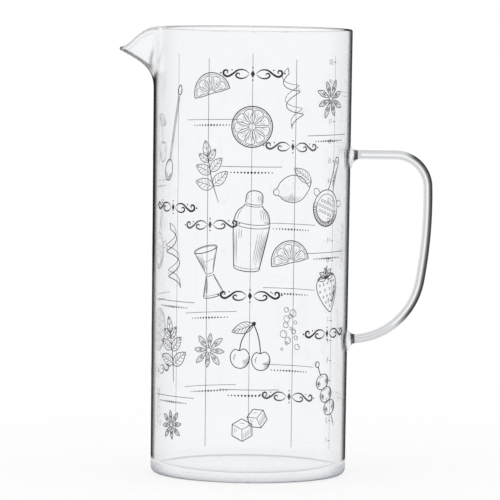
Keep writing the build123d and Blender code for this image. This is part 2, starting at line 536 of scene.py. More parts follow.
@dataclass(frozen=True)
class ToneZones:
    """Where the body's painted edge shade fades in and out.

    Spans of turn are degrees from the middle of the spout, and spans of pull are shares of the full spout.
    """

    # Painted shade of the welds at the handle's seals, and of the wall's edge where it bulges by them, from a
    # seal's middle
    weld_gap: Span = (5.5, 9.0)
    bulge_rise: Span = (1.5, 6.5)
    bulge_turn: Span = (152.0, 158.0)

    # Painted dark edge of the plain wall, deeper on the spout's side
    wall_rise: Span = (7.6, 9.6)
    deep_gain: float = 0.16
    deep_rise: Span = (105.0, 140.0)
    deep_turn: Span = (50.0, 75.0)

    # Where the spout's root covers the wall's painted shade, above the root and from the spout's side
    spout_side: Span = (-5.0, 4.0)
    cover_rise: float = 10.5
    cover_drop: float = 2.5
    cover_turn: Span = (3.0, 9.0)
    cover_fade: float = 4.5

    # Painted shade in the throat and at the tip of the spout
    spout_pull: Span = (0.45, 0.85)
    spout_rise: Span = (6.0, 14.0)
    tip_pull: Span = (0.85, 0.98)

    # Painted shade line along the crease on the near flank only, above the root and below the rim
    crease_turn: float = 11.5
    crease_height: float = 235.5
    crease_lean: float = 0.6
    crease_width: float = 0.85
    crease_rise: Span = (11.0, 16.0)
    crease_fall: Span = (9.0, 16.0)

    # Painted shade on both flanks, outside the crease
    haze_level: float = 0.14
    haze_gain: float = 0.2
    haze_fade: Span = (11.0, 17.0)
    haze_rise: Span = (6.0, 13.0)
    haze_edge: Span = (-2.0, 2.0)
    haze_turn: Span = (18.0, 24.0)

    # Painted shade line along the lip, from the middle of the rim
    lip_gap: float = 1.9
    lip_width: float = 0.5
    lip_level: float = 0.25
    lip_pull: Span = (0.05, 0.2)

    # Painted shade on the rim, pale on its outside except in the spout
    rim_outside: float = 0.04
    rim_middle: Span = (-0.4, 0.4)
    rim_pull: Span = (0.005, 0.06)

    # Painted shade on the heel, the standing ring and the inside bend of the base
    heel_rise: Span = (6.0, 10.0)
    foot_height: float = 5.5
    foot_fall: float = 1.3
    foot_edge: Span = (-6.0, -4.0)
    bend_edge: Span = (-0.6, 0.6)
    bend_rise: Span = (0.3, 1.0)


@dataclass
class Vessel:
    """The blown cylinder with its pulled spout and fire-polished rim."""

    height: float = 249.5
    rim_diameter: float = 111.0
    base_diameter: float = 109.3
    wall: float = 2.0
    floor: float = 3.0
    heel_radius: float = 3.5
    inner_heel_radius: float = 5.0
    standing_ring: float = 5.0
    punt: float = 0.8
    base_top: float = 7.5

    # Spout: the powers and holds shape its sides and its section between root and lip
    spout_reach: float = 19.7
    spout_dip: float = 12.2
    spout_depth: float = 34.5
    spout_half_angle: float = 27.0
    spout_tip_rise: float = 28.0
    pull_power: int = 4
    dip_power: float = 1.35
    turn_power: float = 0.75
    root_hold: float = 0.55
    lip_hold: float = 0.475

    # Swelling of the inside behind the handle's seals
    dimple_depth: float = 1.2
    dimple_radius: float = 14.0
    dimple_blend: float = 0.35
    seal_heights: tuple[float, ...] = ()
    seal_radius: float = 0.0
    joint_margin: float = 0.9

    # Fineness of the mesh: rows by height, and runs of columns as first turn, last turn and count
    floor_steps: int = 8
    bend_steps: int = 10
    crown_steps: int = 8
    wall_steps: int = 26
    foot_rows: tuple[float, ...] = (1.5, 3.0, 4.5, 6.0)
    seal_band: float = 9.0
    seal_rows: int = 18
    row_gap: float = 0.5
    even_share: float = 0.9
    even_steps: int = 18
    lip_shares: tuple[float, ...] = (0.92, 0.94, 0.955, 0.97, 0.985, 1.0)
    column_runs: tuple[tuple[float, float, int], ...] = (
        (-9.0, 9.0, 24),
        (9.0, 150.0, 94),
        (150.0, 164.0, 14),
        (164.0, 196.0, 64),
        (196.0, 210.0, 14),
        (210.0, 351.0, 94),
    )
    column_middle: float = 0.4
    zones: ToneZones = ToneZones()

    @property
    def spout_root(self) -> float:
        """Height where the spout starts to leave the cylinder."""
        return self.height - self.spout_depth

    def outer_radius(self, z: float) -> float:
        """Gives the outside radius of the plain wall at a height."""
        return 0.5 * (self.base_diameter + (self.rim_diameter - self.base_diameter) * z / self.height)

    def pulled_radius(self, z: float, pull: float) -> float:
        """Gives the radius of the middle of the wall at a height, pulled out as far as the rim."""
        return self.outer_radius(z) - 0.5 * self.wall + (self.spout_reach - 0.25 * self.wall) * pull

    @staticmethod
    def aside(degrees: float) -> float:
        """Gives the turn from the middle of the spout, on either side."""
        return abs(degrees % 360.0 - 180.0)

    def pull(self, degrees: float) -> float:
        """Gives how far the rim is pulled out: 1 in the middle of the spout, 0 beyond its sides."""
        share = self.aside(degrees) / self.spout_half_angle
        return math.cos(0.5 * math.pi * share) ** self.pull_power if share < 1.0 else 0.0

    def rim_end(self, pull: float) -> Point2:
        """Gives the radius and height of the middle of the rim.

        Args:
            pull: How far the rim is pulled out here.

        Returns:
            Radius and height.
        """
        half = 0.5 * self.wall
        end_z = self.height - half - (self.spout_dip - half) * ease(pull**self.dip_power, 0.0, 1.0)
        return self.pulled_radius(end_z, pull), end_z

    def rim_section(self, pull: float) -> tuple[list[Point2], list[Point2], list[Point2]]:
        """Works out the wall between the spout's root and the rim.

        Args:
            pull: How far the rim is pulled out here.

        Returns:
            Outside points upwards, crown points inwards and inside points downwards, as radius and height.
        """
        half = 0.5 * self.wall
        end_r, end_z = self.rim_end(pull)
        plain = math.atan2(self.height, 0.5 * (self.rim_diameter - self.base_diameter))
        rise = plain - (plain - math.radians(self.spout_tip_rise)) * pull**self.turn_power
        root_z = self.spout_root
        root_r = self.outer_radius(root_z) - half
        up = self.root_hold * (end_z - root_z)
        back = self.lip_hold * math.hypot(end_r - root_r, end_z - root_z)
        knots = (
            (root_r, root_z),
            (self.outer_radius(root_z + up) - half, root_z + up),
            (end_r - back * math.cos(rise), end_z - back * math.sin(rise)),
            (end_r, end_z),
        )
        outside: list[Point2] = []
        inside: list[Point2] = []
        normal = (1.0, 0.0)
        for t in (*steps(0.0, self.even_share, self.even_steps), *self.lip_shares):
            spread = ((1 - t) ** 3, 3 * t * (1 - t) ** 2, 3 * t * t * (1 - t), t**3)
            r = sum(w * k[0] for w, k in zip(spread, knots))
            z = sum(w * k[1] for w, k in zip(spread, knots))
            slope = ((1 - t) ** 2, 2 * t * (1 - t), t * t)
            dr = sum(w * (knots[k + 1][0] - knots[k][0]) for k, w in enumerate(slope))
            dz = sum(w * (knots[k + 1][1] - knots[k][1]) for k, w in enumerate(slope))
            length = math.hypot(dr, dz)
            normal = (dz / length, -dr / length)
            outside.append((r + half * normal[0], z + half * normal[1]))
            inside.append((r - half * normal[0], z - half * normal[1]))
        start = math.degrees(math.atan2(normal[1], normal[0]))
        crown = []
        for turn in steps(0.0, 180.0, self.crown_steps)[1:-1]:
            x, y = polar(half, start + turn)
            crown.append((end_r + x, end_z + y))
        return outside, crown, inside[::-1]

    def wall_heights(self, low: float) -> list[float]:
        """Lists the rows of the plain wall, close together by the seals.

        Args:
            low: Height of the lowest row.

        Returns:
            Heights below the spout's root, upwards.
        """
        rows = {round(z, 3) for z in steps(low, self.spout_root, self.wall_steps)[:-1]}
        rows |= {round(low + rise, 3) for rise in self.foot_rows}
        band = self.seal_band
        for seal in self.seal_heights:
            rows = {z for z in rows if abs(z - seal) > band + self.row_gap}
            rows |= {round(z, 3) for z in steps(seal - band, seal + band, self.seal_rows)}
        return sorted(rows)

    def dimpled(self, r: float, z: float, degrees: float) -> float:
        """Swells the inside of the wall behind the seals.

        Args:
            r: Plain inside radius.
            z: Height.
            degrees: Turn from the handle.

        Returns:
            The swollen inside radius.
        """
        for seal in self.seal_heights:
            middle = self.outer_radius(seal) - self.wall - self.dimple_depth + self.dimple_radius
            x, y = polar(middle, degrees)
            room = self.dimple_radius**2 - (z - seal) ** 2 - y * y
            if x > 0.0 and room > 0.0:
                r = soft_least(r, x - math.sqrt(room), self.dimple_blend)
        return r

    def columns(self) -> list[float]:
        """Lists the turns of the mesh columns, closer by the handle and in the spout."""
        return [turn for run in self.column_runs for turn in steps(*run)[:-1]]

    def profile(self, degrees: float) -> list[WallPoint]:
        """Works out the closed wall section at a turn.

        Args:
            degrees: Turn from the handle.

        Returns:
            Points from the middle of the underside to the middle of the floor.
        """
        heel = self.heel_radius
        ring_out = self.outer_radius(heel) - heel
        ring_in = ring_out - self.standing_ring
        floor_shares = steps(0.0, 1.0, self.floor_steps)
        outer: list[Point2] = [(ring_in * s, self.punt * (1.0 - s * s)) for s in floor_shares]
        outer.append((0.5 * (ring_in + ring_out), 0.0))
        for turn in steps(-90.0, 0.0, self.bend_steps):
            x, y = polar(heel, turn)
            outer.append((ring_out + x, heel + y))
        outer += [(self.outer_radius(z), z) for z in self.wall_heights(heel)[1:]]
        base = [point for point in outer if point[1] < self.base_top]
        outer = outer[len(base):]
        outside, crown, inner = self.rim_section(self.pull(degrees))
        outer += outside[:-1]
        crown = outside[-1:] + crown
        bend = self.inner_heel_radius
        inner_low = self.floor + self.punt + bend
        for z in self.wall_heights(inner_low)[::-1]:
            inner.append((self.dimpled(self.outer_radius(z) - self.wall, z, degrees), z))
        middle = self.outer_radius(inner_low) - self.wall - bend
        for turn in steps(0.0, -90.0, self.bend_steps)[1:]:
            x, y = polar(bend, turn)
            inner.append((middle + x, inner_low + y))
        inner += [(middle * s, self.floor + self.punt) for s in floor_shares[-2::-1]]
        zones = ((base, Zone.BASE), (outer, Zone.OUTSIDE), (crown, Zone.CROWN), (inner, Zone.INSIDE))
        return [WallPoint(r, z, zone) for run, zone in zones for r, z in run]

    def seal_gap(self, degrees: float, z: float) -> float:
        """Gives the distance along the wall to the nearest seal's middle.

        Args:
            degrees: Turn from the handle.
            z: Height.

        Returns:
            The distance.
        """
        turn = (degrees + 180.0) % 360.0 - 180.0
        across = self.outer_radius(z) * math.radians(turn)
        return min(math.hypot(across, z - seal) for seal in self.seal_heights)

    def spout_near(self, aside: float) -> float:
        """Gives how far a turn lies within the sides of the spout."""
        return 1.0 - ease(aside - self.spout_half_angle, *self.zones.spout_side)

    def wall_shares(self, point: WallPoint, degrees: float) -> Shares:
        """Works out the painted shade of the plain wall and of the seals on it.

        Args:
            point: The point.
            degrees: Turn from the handle.

        Returns:
            Shares by name.
        """
        zones = self.zones
        aside = self.aside(degrees)
        # Painted shade of the welds, and of the wall's edge line where it bulges by the seals
        weld = 1.0 - ease(self.seal_gap(degrees, point.z), *zones.weld_gap)
        level = min(abs(point.z - seal) for seal in self.seal_heights)
        bulge = (1.0 - ease(level, *zones.bulge_rise)) * ease(aside, *zones.bulge_turn)
        start = zones.cover_rise - zones.cover_drop * ease(aside, *zones.cover_turn)
        cover = self.spout_near(aside) * ease(point.z - self.spout_root, start, start + zones.cover_fade)
        deep = zones.deep_gain * ease(point.z, *zones.deep_rise) * (1.0 - ease(aside, *zones.deep_turn))
        wall = ease(point.z, *zones.wall_rise) * (1.0 - weld) * (1.0 - cover) * (1.0 - bulge)
        return {"wall_share": wall * (1.0 + deep), "weld_shade_share": weld, "bulge_shade_share": bulge}

    def spout_shares(self, point: WallPoint, degrees: float) -> Shares:
        """Works out the painted shade of the spout and of the rim.

        Args:
            point: The point.
            degrees: Turn from the handle.

        Returns:
            Shares by name.
        """
        zones = self.zones
        aside = self.aside(degrees)
        pull = self.pull(degrees)
        up = point.z - self.spout_root
        down = self.height - point.z
        # Painted shade line along the crease, on the near flank only
        crease = zones.crease_turn + zones.crease_lean * (point.z - zones.crease_height)
        line = bell(aside - crease, zones.crease_width) if degrees % 360.0 > 180.0 else 0.0
        line *= ease(up, *zones.crease_rise) * ease(down, *zones.crease_fall)
        flank_shade = zones.haze_level + zones.haze_gain * (1.0 - ease(up, *zones.haze_fade))
        flank_shade *= self.spout_near(aside) * ease(up, *zones.haze_rise)
        flank_shade *= ease(aside - crease, *zones.haze_edge) * (1.0 - ease(aside, *zones.haze_turn))
        lip_gap = math.dist((point.r, point.z), self.rim_end(pull)) - zones.lip_gap
        lip = zones.lip_level * bell(lip_gap, zones.lip_width) * ease(pull, *zones.lip_pull)
        inwards = ease(self.pulled_radius(point.z, pull) - point.r, *zones.rim_middle)
        rim = max(inwards, ease(pull, *zones.rim_pull))
        return {
            "spout_share": ease(pull, *zones.spout_pull) * ease(up, *zones.spout_rise),
            "fold_shade_share": max(line, flank_shade, lip),
            "rim_share": zones.rim_outside + (1.0 - zones.rim_outside) * rim,
            "tip_share": ease(pull, *zones.tip_pull),
        }

    def base_shares(self, point: WallPoint) -> Shares:
        """Works out the painted shade of the heel, the standing ring and the inside bend.

        Args:
            point: The point.

        Returns:
            Shares by name.
        """
        zones = self.zones
        edge = 0.5 * self.base_diameter
        foot = max(0.0, 1.0 - point.z / zones.foot_height) ** zones.foot_fall
        bend = ease(point.r - edge + self.wall + self.inner_heel_radius, *zones.bend_edge)
        return {
            "heel_share": 1.0 - ease(point.z, *zones.heel_rise),
            "foot_share": foot * ease(point.r - edge, *zones.foot_edge),
            "bend_share": bend * (1.0 - ease(point.z - self.floor - self.punt, *zones.bend_rise)),
        }

    def shares(self, point: WallPoint, degrees: float) -> Shares:
        """Works out the painted edge shade at a point: 0 to 1, a little more where the wall's shade is
        deeper.
        """
        above_base = {**self.wall_shares(point, degrees), **self.spout_shares(point, degrees)}
        return {**above_base, **self.base_shares(point)}

    def build(self, finishes: Sequence[Material]) -> Piece:
        """Builds the glass body.

        Args:
            finishes: Materials in the order of the zones.

        Returns:
            The body.
        """
        turns = self.columns()
        sections = [self.profile(turn) for turn in turns]
        rows = len(sections[0]) - 2
        ends = (sections[0][0], sections[0][-1])
        points: list[Point3] = [(0.0, 0.0, end.z) for end in ends]
        shares = [self.shares(end, 180.0) for end in ends]
        for turn, section in zip(turns, sections):
            for point in section[1:-1]:
                points.append((*polar(point.r, turn), point.z))
                shares.append(self.shares(point, turn))
        faces: list[Face] = []
        picks: list[int] = []
        for column, (turn, section) in enumerate(zip(turns, sections)):
            here = 2 + column * rows
            there = 2 + (column + 1) % len(turns) * rows
            faces.append((0, there, here))
            picks.append(Zone.BASE.value)
            for row in range(rows - 1):
                faces.append((here + row, there + row, there + row + 1, here + row + 1))
                low, high = section[row + 1:row + 3]
                gap = self.seal_gap(turn + self.column_middle, 0.5 * (low.z + high.z))
                joined = low.zone is Zone.OUTSIDE and gap < self.seal_radius - self.joint_margin
                picks.append((Zone.JOINT if joined else low.zone).value)
            faces.append((1, here + rows - 1, there + rows - 1))
            picks.append(Zone.INSIDE.value)
        piece = mesh_object("glass_body", points, faces, finishes, picks)
        write_shares(piece, shares)
        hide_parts("body")
        return piece


class Seal(Enum):
    """The two seals of the handle, by the name of their solid."""

    UPPER = "upper_handle_seal"
    LOWER = "lower_handle_seal"


@dataclass(frozen=True)
class RodZones:
    """Where the rod's painted edge shade fades in and out.

    Spans of steepness are of the upright share of the rod's direction, and spans of shade are shares of the
    seal's length from the rod.
    """

    outer_side: Span = (0.45, 0.55)
    cap_side: Span = (0.6, 0.8)
    least_tone: float = 0.36
    upper_steepness: Span = (0.22, 0.56)
    lower_steepness: Span = (0.58, 0.82)
    core_steepness: Span = (0.5, 0.68)
    shade_start: Span = (0.02, 0.18)
    shade_end: Span = (0.55, 0.78)


@dataclass
class RodHandle:
    """The bent glass rod and the two flared seals that join it to the wall."""

    vessel: Vessel
    rod_diameter: float = 5.25
    top: float = 179.6
    foot: float = 76.1
    grip_height: float = 154.1
    finger_gap: float = 41.1
    top_bend: float = 18.2
    grip_bow: float = 261.0
    foot_bend: float = 39.8
    seal_length: float = 4.6
    seal_diameter: float = 12.6
    seal_lip: float = 0.5
    seal_sink: float = 0.01
    top_droop: float = 1.4

    # Fineness of the meshes
    sides: int = 40
    level_steps: int = 10
    top_steps: int = 32
    grip_steps: int = 24
    foot_steps: int = 40
    flare_steps: int = 16
    pad_shares: tuple[float, ...] = (1.0, 0.66, 0.33)
    wall_tries: int = 8
    zones: RodZones = RodZones()

    def line(self) -> list[tuple[Vector, Vector]]:
        """Works out the rod's middle line.

        Returns:
            Points and directions from the upper seal to the lower one, in the XZ plane.
        """
        wall = self.vessel.outer_radius
        bow = self.grip_bow
        grip_x = wall(self.grip_height) + self.finger_gap + 0.5 * self.rod_diameter - bow
        top_z = self.top - self.top_bend
        foot_z = self.foot + self.foot_bend
        top_turn = math.asin((top_z - self.grip_height) / (bow - self.top_bend))
        grip_turn = math.asin((foot_z - self.grip_height) / (bow - self.foot_bend))
        top_x = grip_x + (bow - self.top_bend) * math.cos(top_turn)
        foot_x = grip_x + (bow - self.foot_bend) * math.cos(grip_turn)
        foot_turn = math.acos((wall(self.foot) + self.seal_length - foot_x) / self.foot_bend)
        bends = (
            (top_x, top_z, self.top_bend, 0.5 * math.pi, top_turn, self.top_steps),
            (grip_x, self.grip_height, bow, top_turn, grip_turn, self.grip_steps),
            (foot_x, foot_z, self.foot_bend, grip_turn, -foot_turn, self.foot_steps),
        )
        run: list[tuple[Vector, Vector]] = []
        for x in steps(wall(self.top) + self.seal_length, top_x, self.level_steps)[:-1]:
            run.append((Vector((x, 0.0, self.top)), Vector((1.0, 0.0, 0.0))))
        for x, z, radius, first, last, count in bends:
            for turn in steps(math.degrees(first), math.degrees(last), count)[:-1]:
                run.append(self.on_bend(x, z, radius, turn))
        run.append(self.on_bend(foot_x, foot_z, self.foot_bend, -math.degrees(foot_turn)))
        return run

    @staticmethod
    def on_bend(x: float, z: float, radius: float, degrees: float) -> tuple[Vector, Vector]:
        """Gives the point and direction at a turn from +X towards +Z, on a bend that runs clockwise."""
        across, up = polar(1.0, degrees)
        return Vector((x + radius * across, 0.0, z + radius * up)), Vector((up, 0.0, -across))

    @property
    def ring_turns(self) -> list[float]:
        """Turns of the points of a ring, in radians."""
        return steps(0.0, 2.0 * math.pi, self.sides)[:-1]

    def ring(self, middle: Vector, way: Vector, radius: float) -> list[Vector]:
        """Lists a ring of points square to a direction in the XZ plane.

        Args:
            middle: Centre of the ring.
            way: Direction that the ring is square to.
            radius: Radius of the ring.

        Returns:
            The points, the first on the outer side of the bend.
        """
        out = Vector((-way.z, 0.0, way.x))
        side = Vector((0.0, 1.0, 0.0))
        return [middle + radius * (out * math.cos(t) + side * math.sin(t)) for t in self.ring_turns]

    def ring_shares(self, way: Vector, weld: float) -> list[Shares]:
        """Works out the painted shade around a ring, darker on the outer side of the bend than on the inner
        side.

        Args:
            way: Direction of the rod there.
            weld: Share of the painted shade on the weld.

        Returns:
            Shares by name for each point of the ring.
        """
        zones = self.zones
        is_upper = way.x > 0.0
        steepness = zones.upper_steepness if is_upper else zones.lower_steepness
        reach = zones.least_tone + (1.0 - zones.least_tone) * ease(abs(way.z), *steepness)
        core = 0.0 if is_upper else 1.0 - ease(abs(way.z), *zones.core_steepness)
        found = []
        for t in self.ring_turns:
            # Painted shade, darker on the outer side of the bend than on the inner side
            outer = ease(0.5 + 0.5 * math.cos(t), *zones.outer_side)
            cap = outer * ease(math.cos(t), *zones.cap_side)
            found.append({
                "outer_share": (outer - cap) * reach,
                "cap_share": cap * reach,
                "inner_share": 1.0 - outer,
                "core_share": core,
                "weld_shade_share": weld,
            })
        return found

    def skin(
        self,
        name: str,
        rings: Sequence[Sequence[Vector]],
        shares: Sequence[Sequence[Shares]],
        finishes: Sequence[Material],
        joint_rows: int = 0,
    ) -> Piece:
        """Skins rings into a closed piece with joints at both ends.

        Args:
            name: Name of the piece.
            rings: Rings from end to end.
            shares: Shares of the painted shade for each ring's points.
            finishes: Finish of the skin and of the joints.
            joint_rows: How many of the last rows of faces lie in the end joint.

        Returns:
            The piece.
        """
        points: list[Point3] = [tuple(p) for ring in rings for p in ring]
        flat = [share for ring in shares for share in ring]
        faces: list[Face] = []
        picks: list[int] = []
        n = self.sides
        rows = len(rings) - 1
        for row in range(rows):
            for k in range(n):
                a = row * n + k
                b = row * n + (k + 1) % n
                faces.append((a, b, b + n, a + n))
                picks.append(1 if row >= rows - joint_rows else 0)
        for row in (0, rows):
            points.append(tuple(sum(rings[row], Vector()) / n))
            flat.append(flat[row * n])
            middle = len(points) - 1
            for k in range(n):
                faces.append((middle, row * n + k, row * n + (k + 1) % n))
                picks.append(1)
        piece = mesh_object(name, points, faces, finishes, picks)
        write_shares(piece, flat)
        return piece

    def build_rod(self, finishes: Sequence[Material]) -> Piece:
        """Builds the bent rod.

        Args:
            finishes: Finish of the rod and of its ends.

        Returns:
            The rod.
        """
        run = self.line()
        rings = [self.ring(middle, way, 0.5 * self.rod_diameter) for middle, way in run]
        shares = [self.ring_shares(way, 0.0) for _, way in run]
        piece = self.skin("glass_handle", rings, shares, finishes)
        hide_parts("handle")
        return piece

    def to_wall(self, point: Vector, way: Vector) -> Vector:
        """Moves a point along a direction until it is just under the outside of the wall.

        Args:
            point: Where it starts.
            way: Direction towards the wall.

        Returns:
            The point at the wall.
        """
        moved = point.copy()
        for _ in range(self.wall_tries):
            from_axis = math.hypot(moved.x, moved.y)
            over = from_axis - self.vessel.outer_radius(moved.z) + self.seal_sink
            moved -= way * (over / (way.x * moved.x / from_axis))
        return moved

    def build_seal(self, seal: Seal, finishes: Sequence[Material]) -> Piece:
        """Builds a flared seal between the rod and the wall.

        Args:
            seal: Which of the two.
            finishes: Finish of the flare and of both ends.

        Returns:
            The seal.
        """
        is_upper = seal is Seal.UPPER
        end, along = self.line()[0 if is_upper else -1]
        way = -along if is_upper else along
        droop = Vector((0.0, 0.0, self.top_droop if is_upper else 0.0))
        rod = 0.5 * self.rod_diameter
        pad = 0.5 * self.seal_diameter
        flare = self.seal_length - self.seal_lip
        bend = (flare**2 + (pad - rod) ** 2) / (2.0 * (pad - rod))
        rings: list[list[Vector]] = []
        shares: list[list[Shares]] = []
        for share in steps(0.0, 1.0, self.flare_steps):
            radius = rod + bend - math.sqrt(bend**2 - (flare * share) ** 2)
            rings.append(self.ring(end + way * flare * share - droop * share * share, along, radius))
            # Painted shade of the weld, along the middle of the flare
            shade = ease(share, *self.zones.shade_start) * (1.0 - ease(share, *self.zones.shade_end))
            shares.append(self.ring_shares(along, shade))
        middle = end + way * flare - droop
        for share in self.pad_shares:
            rings.append([self.to_wall(p, way) for p in self.ring(middle, along, pad * share)])
            shares.append(self.ring_shares(along, 0.0))
        piece = self.skin(f"glass_{seal.value}", rings, shares, finishes, len(self.pad_shares) - 1)
        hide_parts(seal.value)
        return piece


class StrokeKind(Enum):
    """How a stroke of the print is filled."""

    LINE = "open pen line"
    LOOP = "closed pen line"
    FILL = "solid shape"


@dataclass(frozen=True)
class Stroke:
    """One mark of a drawing, in millimetres on the unrolled wall.

    The taper is the share of the width that is lost at its ends.
    """

    points: tuple[Point2, ...]
    width: float
    kind: StrokeKind = StrokeKind.LINE
    taper: float = 0.0


@dataclass
class Pen:
    """Collects the strokes of one drawing."""

    bold: float = 0.6
    outline: float = 0.5
    detail: float = 0.34
    hatch: float = 0.26
    curve_parts: int = 5
    fill_parts: int = 3
    arc_turn: float = 12.0
    least_arc_parts: int = 6
    ring_sides: int = 8
    ring_growth: float = 4.0
    least_ring_sides: int = 10
    dot_sides: int = 8
    shade_parts: int = 5
    shade_trim: float = 0.04
    shade_spread: float = 0.05
    strokes: list[Stroke] = field(default_factory=list)

    @staticmethod
    def between(before: float, first: float, last: float, after: float, t: float) -> float:
        """Reads a smooth curve between two of its points.

        Args:
            before: Point before the first.
            first: Where the stretch starts.
            last: Where it ends.
            after: Point after the last.
            t: Share of the stretch.

        Returns:
            The value there.
        """
        square = 2 * before - 5 * first + 4 * last - after
        cube = 3 * first - before - 3 * last + after
        return 0.5 * (2 * first + (last - before) * t + square * t * t + cube * t**3)

    def eased(self, points: Sequence[Point2], closed: bool, parts: int) -> list[Point2]:
        """Runs a smooth curve through points.

        Args:
            points: Points to pass through.
            closed: Whether the curve joins up.
            parts: Pieces between two points.

        Returns:
            Points along the curve.
        """
        n = len(points)
        if n < 3:
            return list(points)
        curve: list[Point2] = []
        for k in range(n if closed else n - 1):
            if closed:
                a, b, c, d = (points[(k + s) % n] for s in (-1, 0, 1, 2))
            else:
                b, c = points[k], points[k + 1]
                a = points[k - 1] if k else (2 * b[0] - c[0], 2 * b[1] - c[1])
                d = points[k + 2] if k + 2 < n else (2 * c[0] - b[0], 2 * c[1] - b[1])
            for t in steps(0.0, 1.0, parts)[:-1]:
                curve.append(tuple(self.between(*values, t) for values in zip(a, b, c, d)))
        if not closed:
            curve.append(points[-1])
        return curve

    @staticmethod
    def ellipse(
        centre: Point2, across: float, up: float, turns: Iterable[float], tilt: float = 0.0
    ) -> tuple[Point2, ...]:
        """Lists points of an ellipse.

        Args:
            centre: Its middle.
            across: Half its breadth.
            up: Half its height.
            turns: Turns of the points, in degrees.
            tilt: Turn of the whole ellipse, in degrees.

        Returns:
            The points.
        """
        c, s = polar(1.0, tilt)
        found = []
        for turn in turns:
            x, y = polar(1.0, turn)
            found.append((centre[0] + across * x * c - up * y * s, centre[1] + across * x * s + up * y * c))
        return tuple(found)

    def path(
        self,
        points: Sequence[Point2],
        width: float,
        closed: bool = False,
        smooth: bool = True,
        taper: float = 0.0,
    ) -> None:
        """Draws a line through points.

        Args:
            points: Points to pass through.
            width: Width of the line.
            closed: Whether the line joins up.
            smooth: Whether it bends smoothly.
            taper: Share of the width lost at the ends.
        """
        run = self.eased(points, closed, self.curve_parts) if smooth else points
        kind = StrokeKind.LOOP if closed else StrokeKind.LINE
        self.strokes.append(Stroke(tuple(run), width, kind, taper))

    def line(self, first: Point2, last: Point2, width: float, taper: float = 0.6) -> None:
        """Draws a straight line that thins to its ends."""
        self.strokes.append(Stroke((first, last), width, StrokeKind.LINE, taper))

    def arc(
        self,
        centre: Point2,
        across: float,
        up: float,
        first: float,
        last: float,
        width: float,
        taper: float = 0.3,
    ) -> None:
        """Draws part of an ellipse.

        Args:
            centre: Its middle.
            across: Half its breadth.
            up: Half its height.
            first: Turn where it starts.
            last: Turn where it ends.
            width: Width of the line.
            taper: Share of the width lost at the ends.
        """
        parts = max(self.least_arc_parts, int(abs(last - first) / self.arc_turn))
        turns = steps(first, last, parts)
        self.strokes.append(Stroke(self.ellipse(centre, across, up, turns), width, StrokeKind.LINE, taper))

    def ring(self, centre: Point2, across: float, up: float, width: float, tilt: float = 0.0) -> None:
        """Draws a whole ellipse, with more sides the larger it is.

        Args:
            centre: Its middle.
            across: Half its breadth.
            up: Half its height.
            width: Width of the line.
            tilt: Turn of the whole ellipse, in degrees.
        """
        sides = max(self.least_ring_sides, int(self.ring_sides + self.ring_growth * max(across, up)))
        turns = steps(0.0, 360.0, sides)[:-1]
        self.strokes.append(Stroke(self.ellipse(centre, across, up, turns, tilt), width, StrokeKind.LOOP))

    def circle(self, centre: Point2, radius: float, width: float) -> None:
        """Draws a whole circle."""
        self.ring(centre, radius, radius, width)

    def fill(self, points: Sequence[Point2], smooth: bool = True) -> None:
        """Draws a solid shape."""
        run = self.eased(points, True, self.fill_parts) if smooth else points
        self.strokes.append(Stroke(tuple(run), 0.0, StrokeKind.FILL))

    def dot(self, centre: Point2, radius: float, squash: float = 1.0, tilt: float = 0.0) -> None:
        """Draws a solid spot."""
        turns = steps(0.0, 360.0, self.dot_sides)[:-1]
        self.fill(self.ellipse(centre, radius, radius * squash, turns, tilt), smooth=False)

    def both(self, profile: Sequence[Point2], width: float, taper: float = 0.0) -> None:
        """Draws a side line and its mirror image."""
        for side in (1.0, -1.0):
            self.path([(side * x, y) for x, y in profile], width, taper=taper)

    def shade(self, profile: Sequence[Point2], low: float, high: float, shares: Iterable[float]) -> None:
        """Hatches along a turned form with lines of uneven length.

        Args:
            profile: Half width and height along the form, upwards.
            low: Where the hatching starts.
            high: Where it ends.
            shares: Places across, from -1 at the left side to 1 at the right.
        """
        for number, share in enumerate(shares):
            trim = (high - low) * (self.shade_trim + self.shade_spread * (number * 5 % 4))
            levels = steps(low + trim, high - 0.7 * trim, self.shade_parts)
            run = [(share * self.half_width(profile, y), y) for y in levels]
            self.path(run, self.hatch, smooth=False, taper=0.8)

    @staticmethod
    def half_width(profile: Sequence[Point2], y: float) -> float:
        """Reads a turned form's half width at a height.

        Args:
            profile: Half width and height along the form, upwards.
            y: The height.

        Returns:
            The half width, that of the nearer end beyond the form.
        """
        for (r0, y0), (r1, y1) in zip(profile, profile[1:]):
            if y0 <= y <= y1:
                return r0 + (r1 - r0) * (y - y0) / (y1 - y0)
        return profile[-1][0] if y > profile[-1][1] else profile[0][0]


class Motif(Enum):
    """The drawings of the print, by the name of the method that draws them."""

    CITRUS_WHEEL = "citrus_wheel"
    CITRUS_WEDGE = "citrus_wedge"
    MINT_SPRIG = "mint_sprig"
    SHAKER = "shaker"
    JIGGER = "jigger"
    BAR_SPOON = "bar_spoon"
    CHERRIES = "cherries"
    OLIVE_PICK = "olive_pick"
    STRAINER = "strainer"
    STRAWBERRY = "strawberry"
    LEMON = "lemon"
    STAR_ANISE = "star_anise"
    PEEL_TWIST = "peel_twist"
    ICE_CUBES = "ice_cubes"
    FLOURISH = "flourish"
    BUBBLES = "bubbles"
    DIVIDER = "divider"


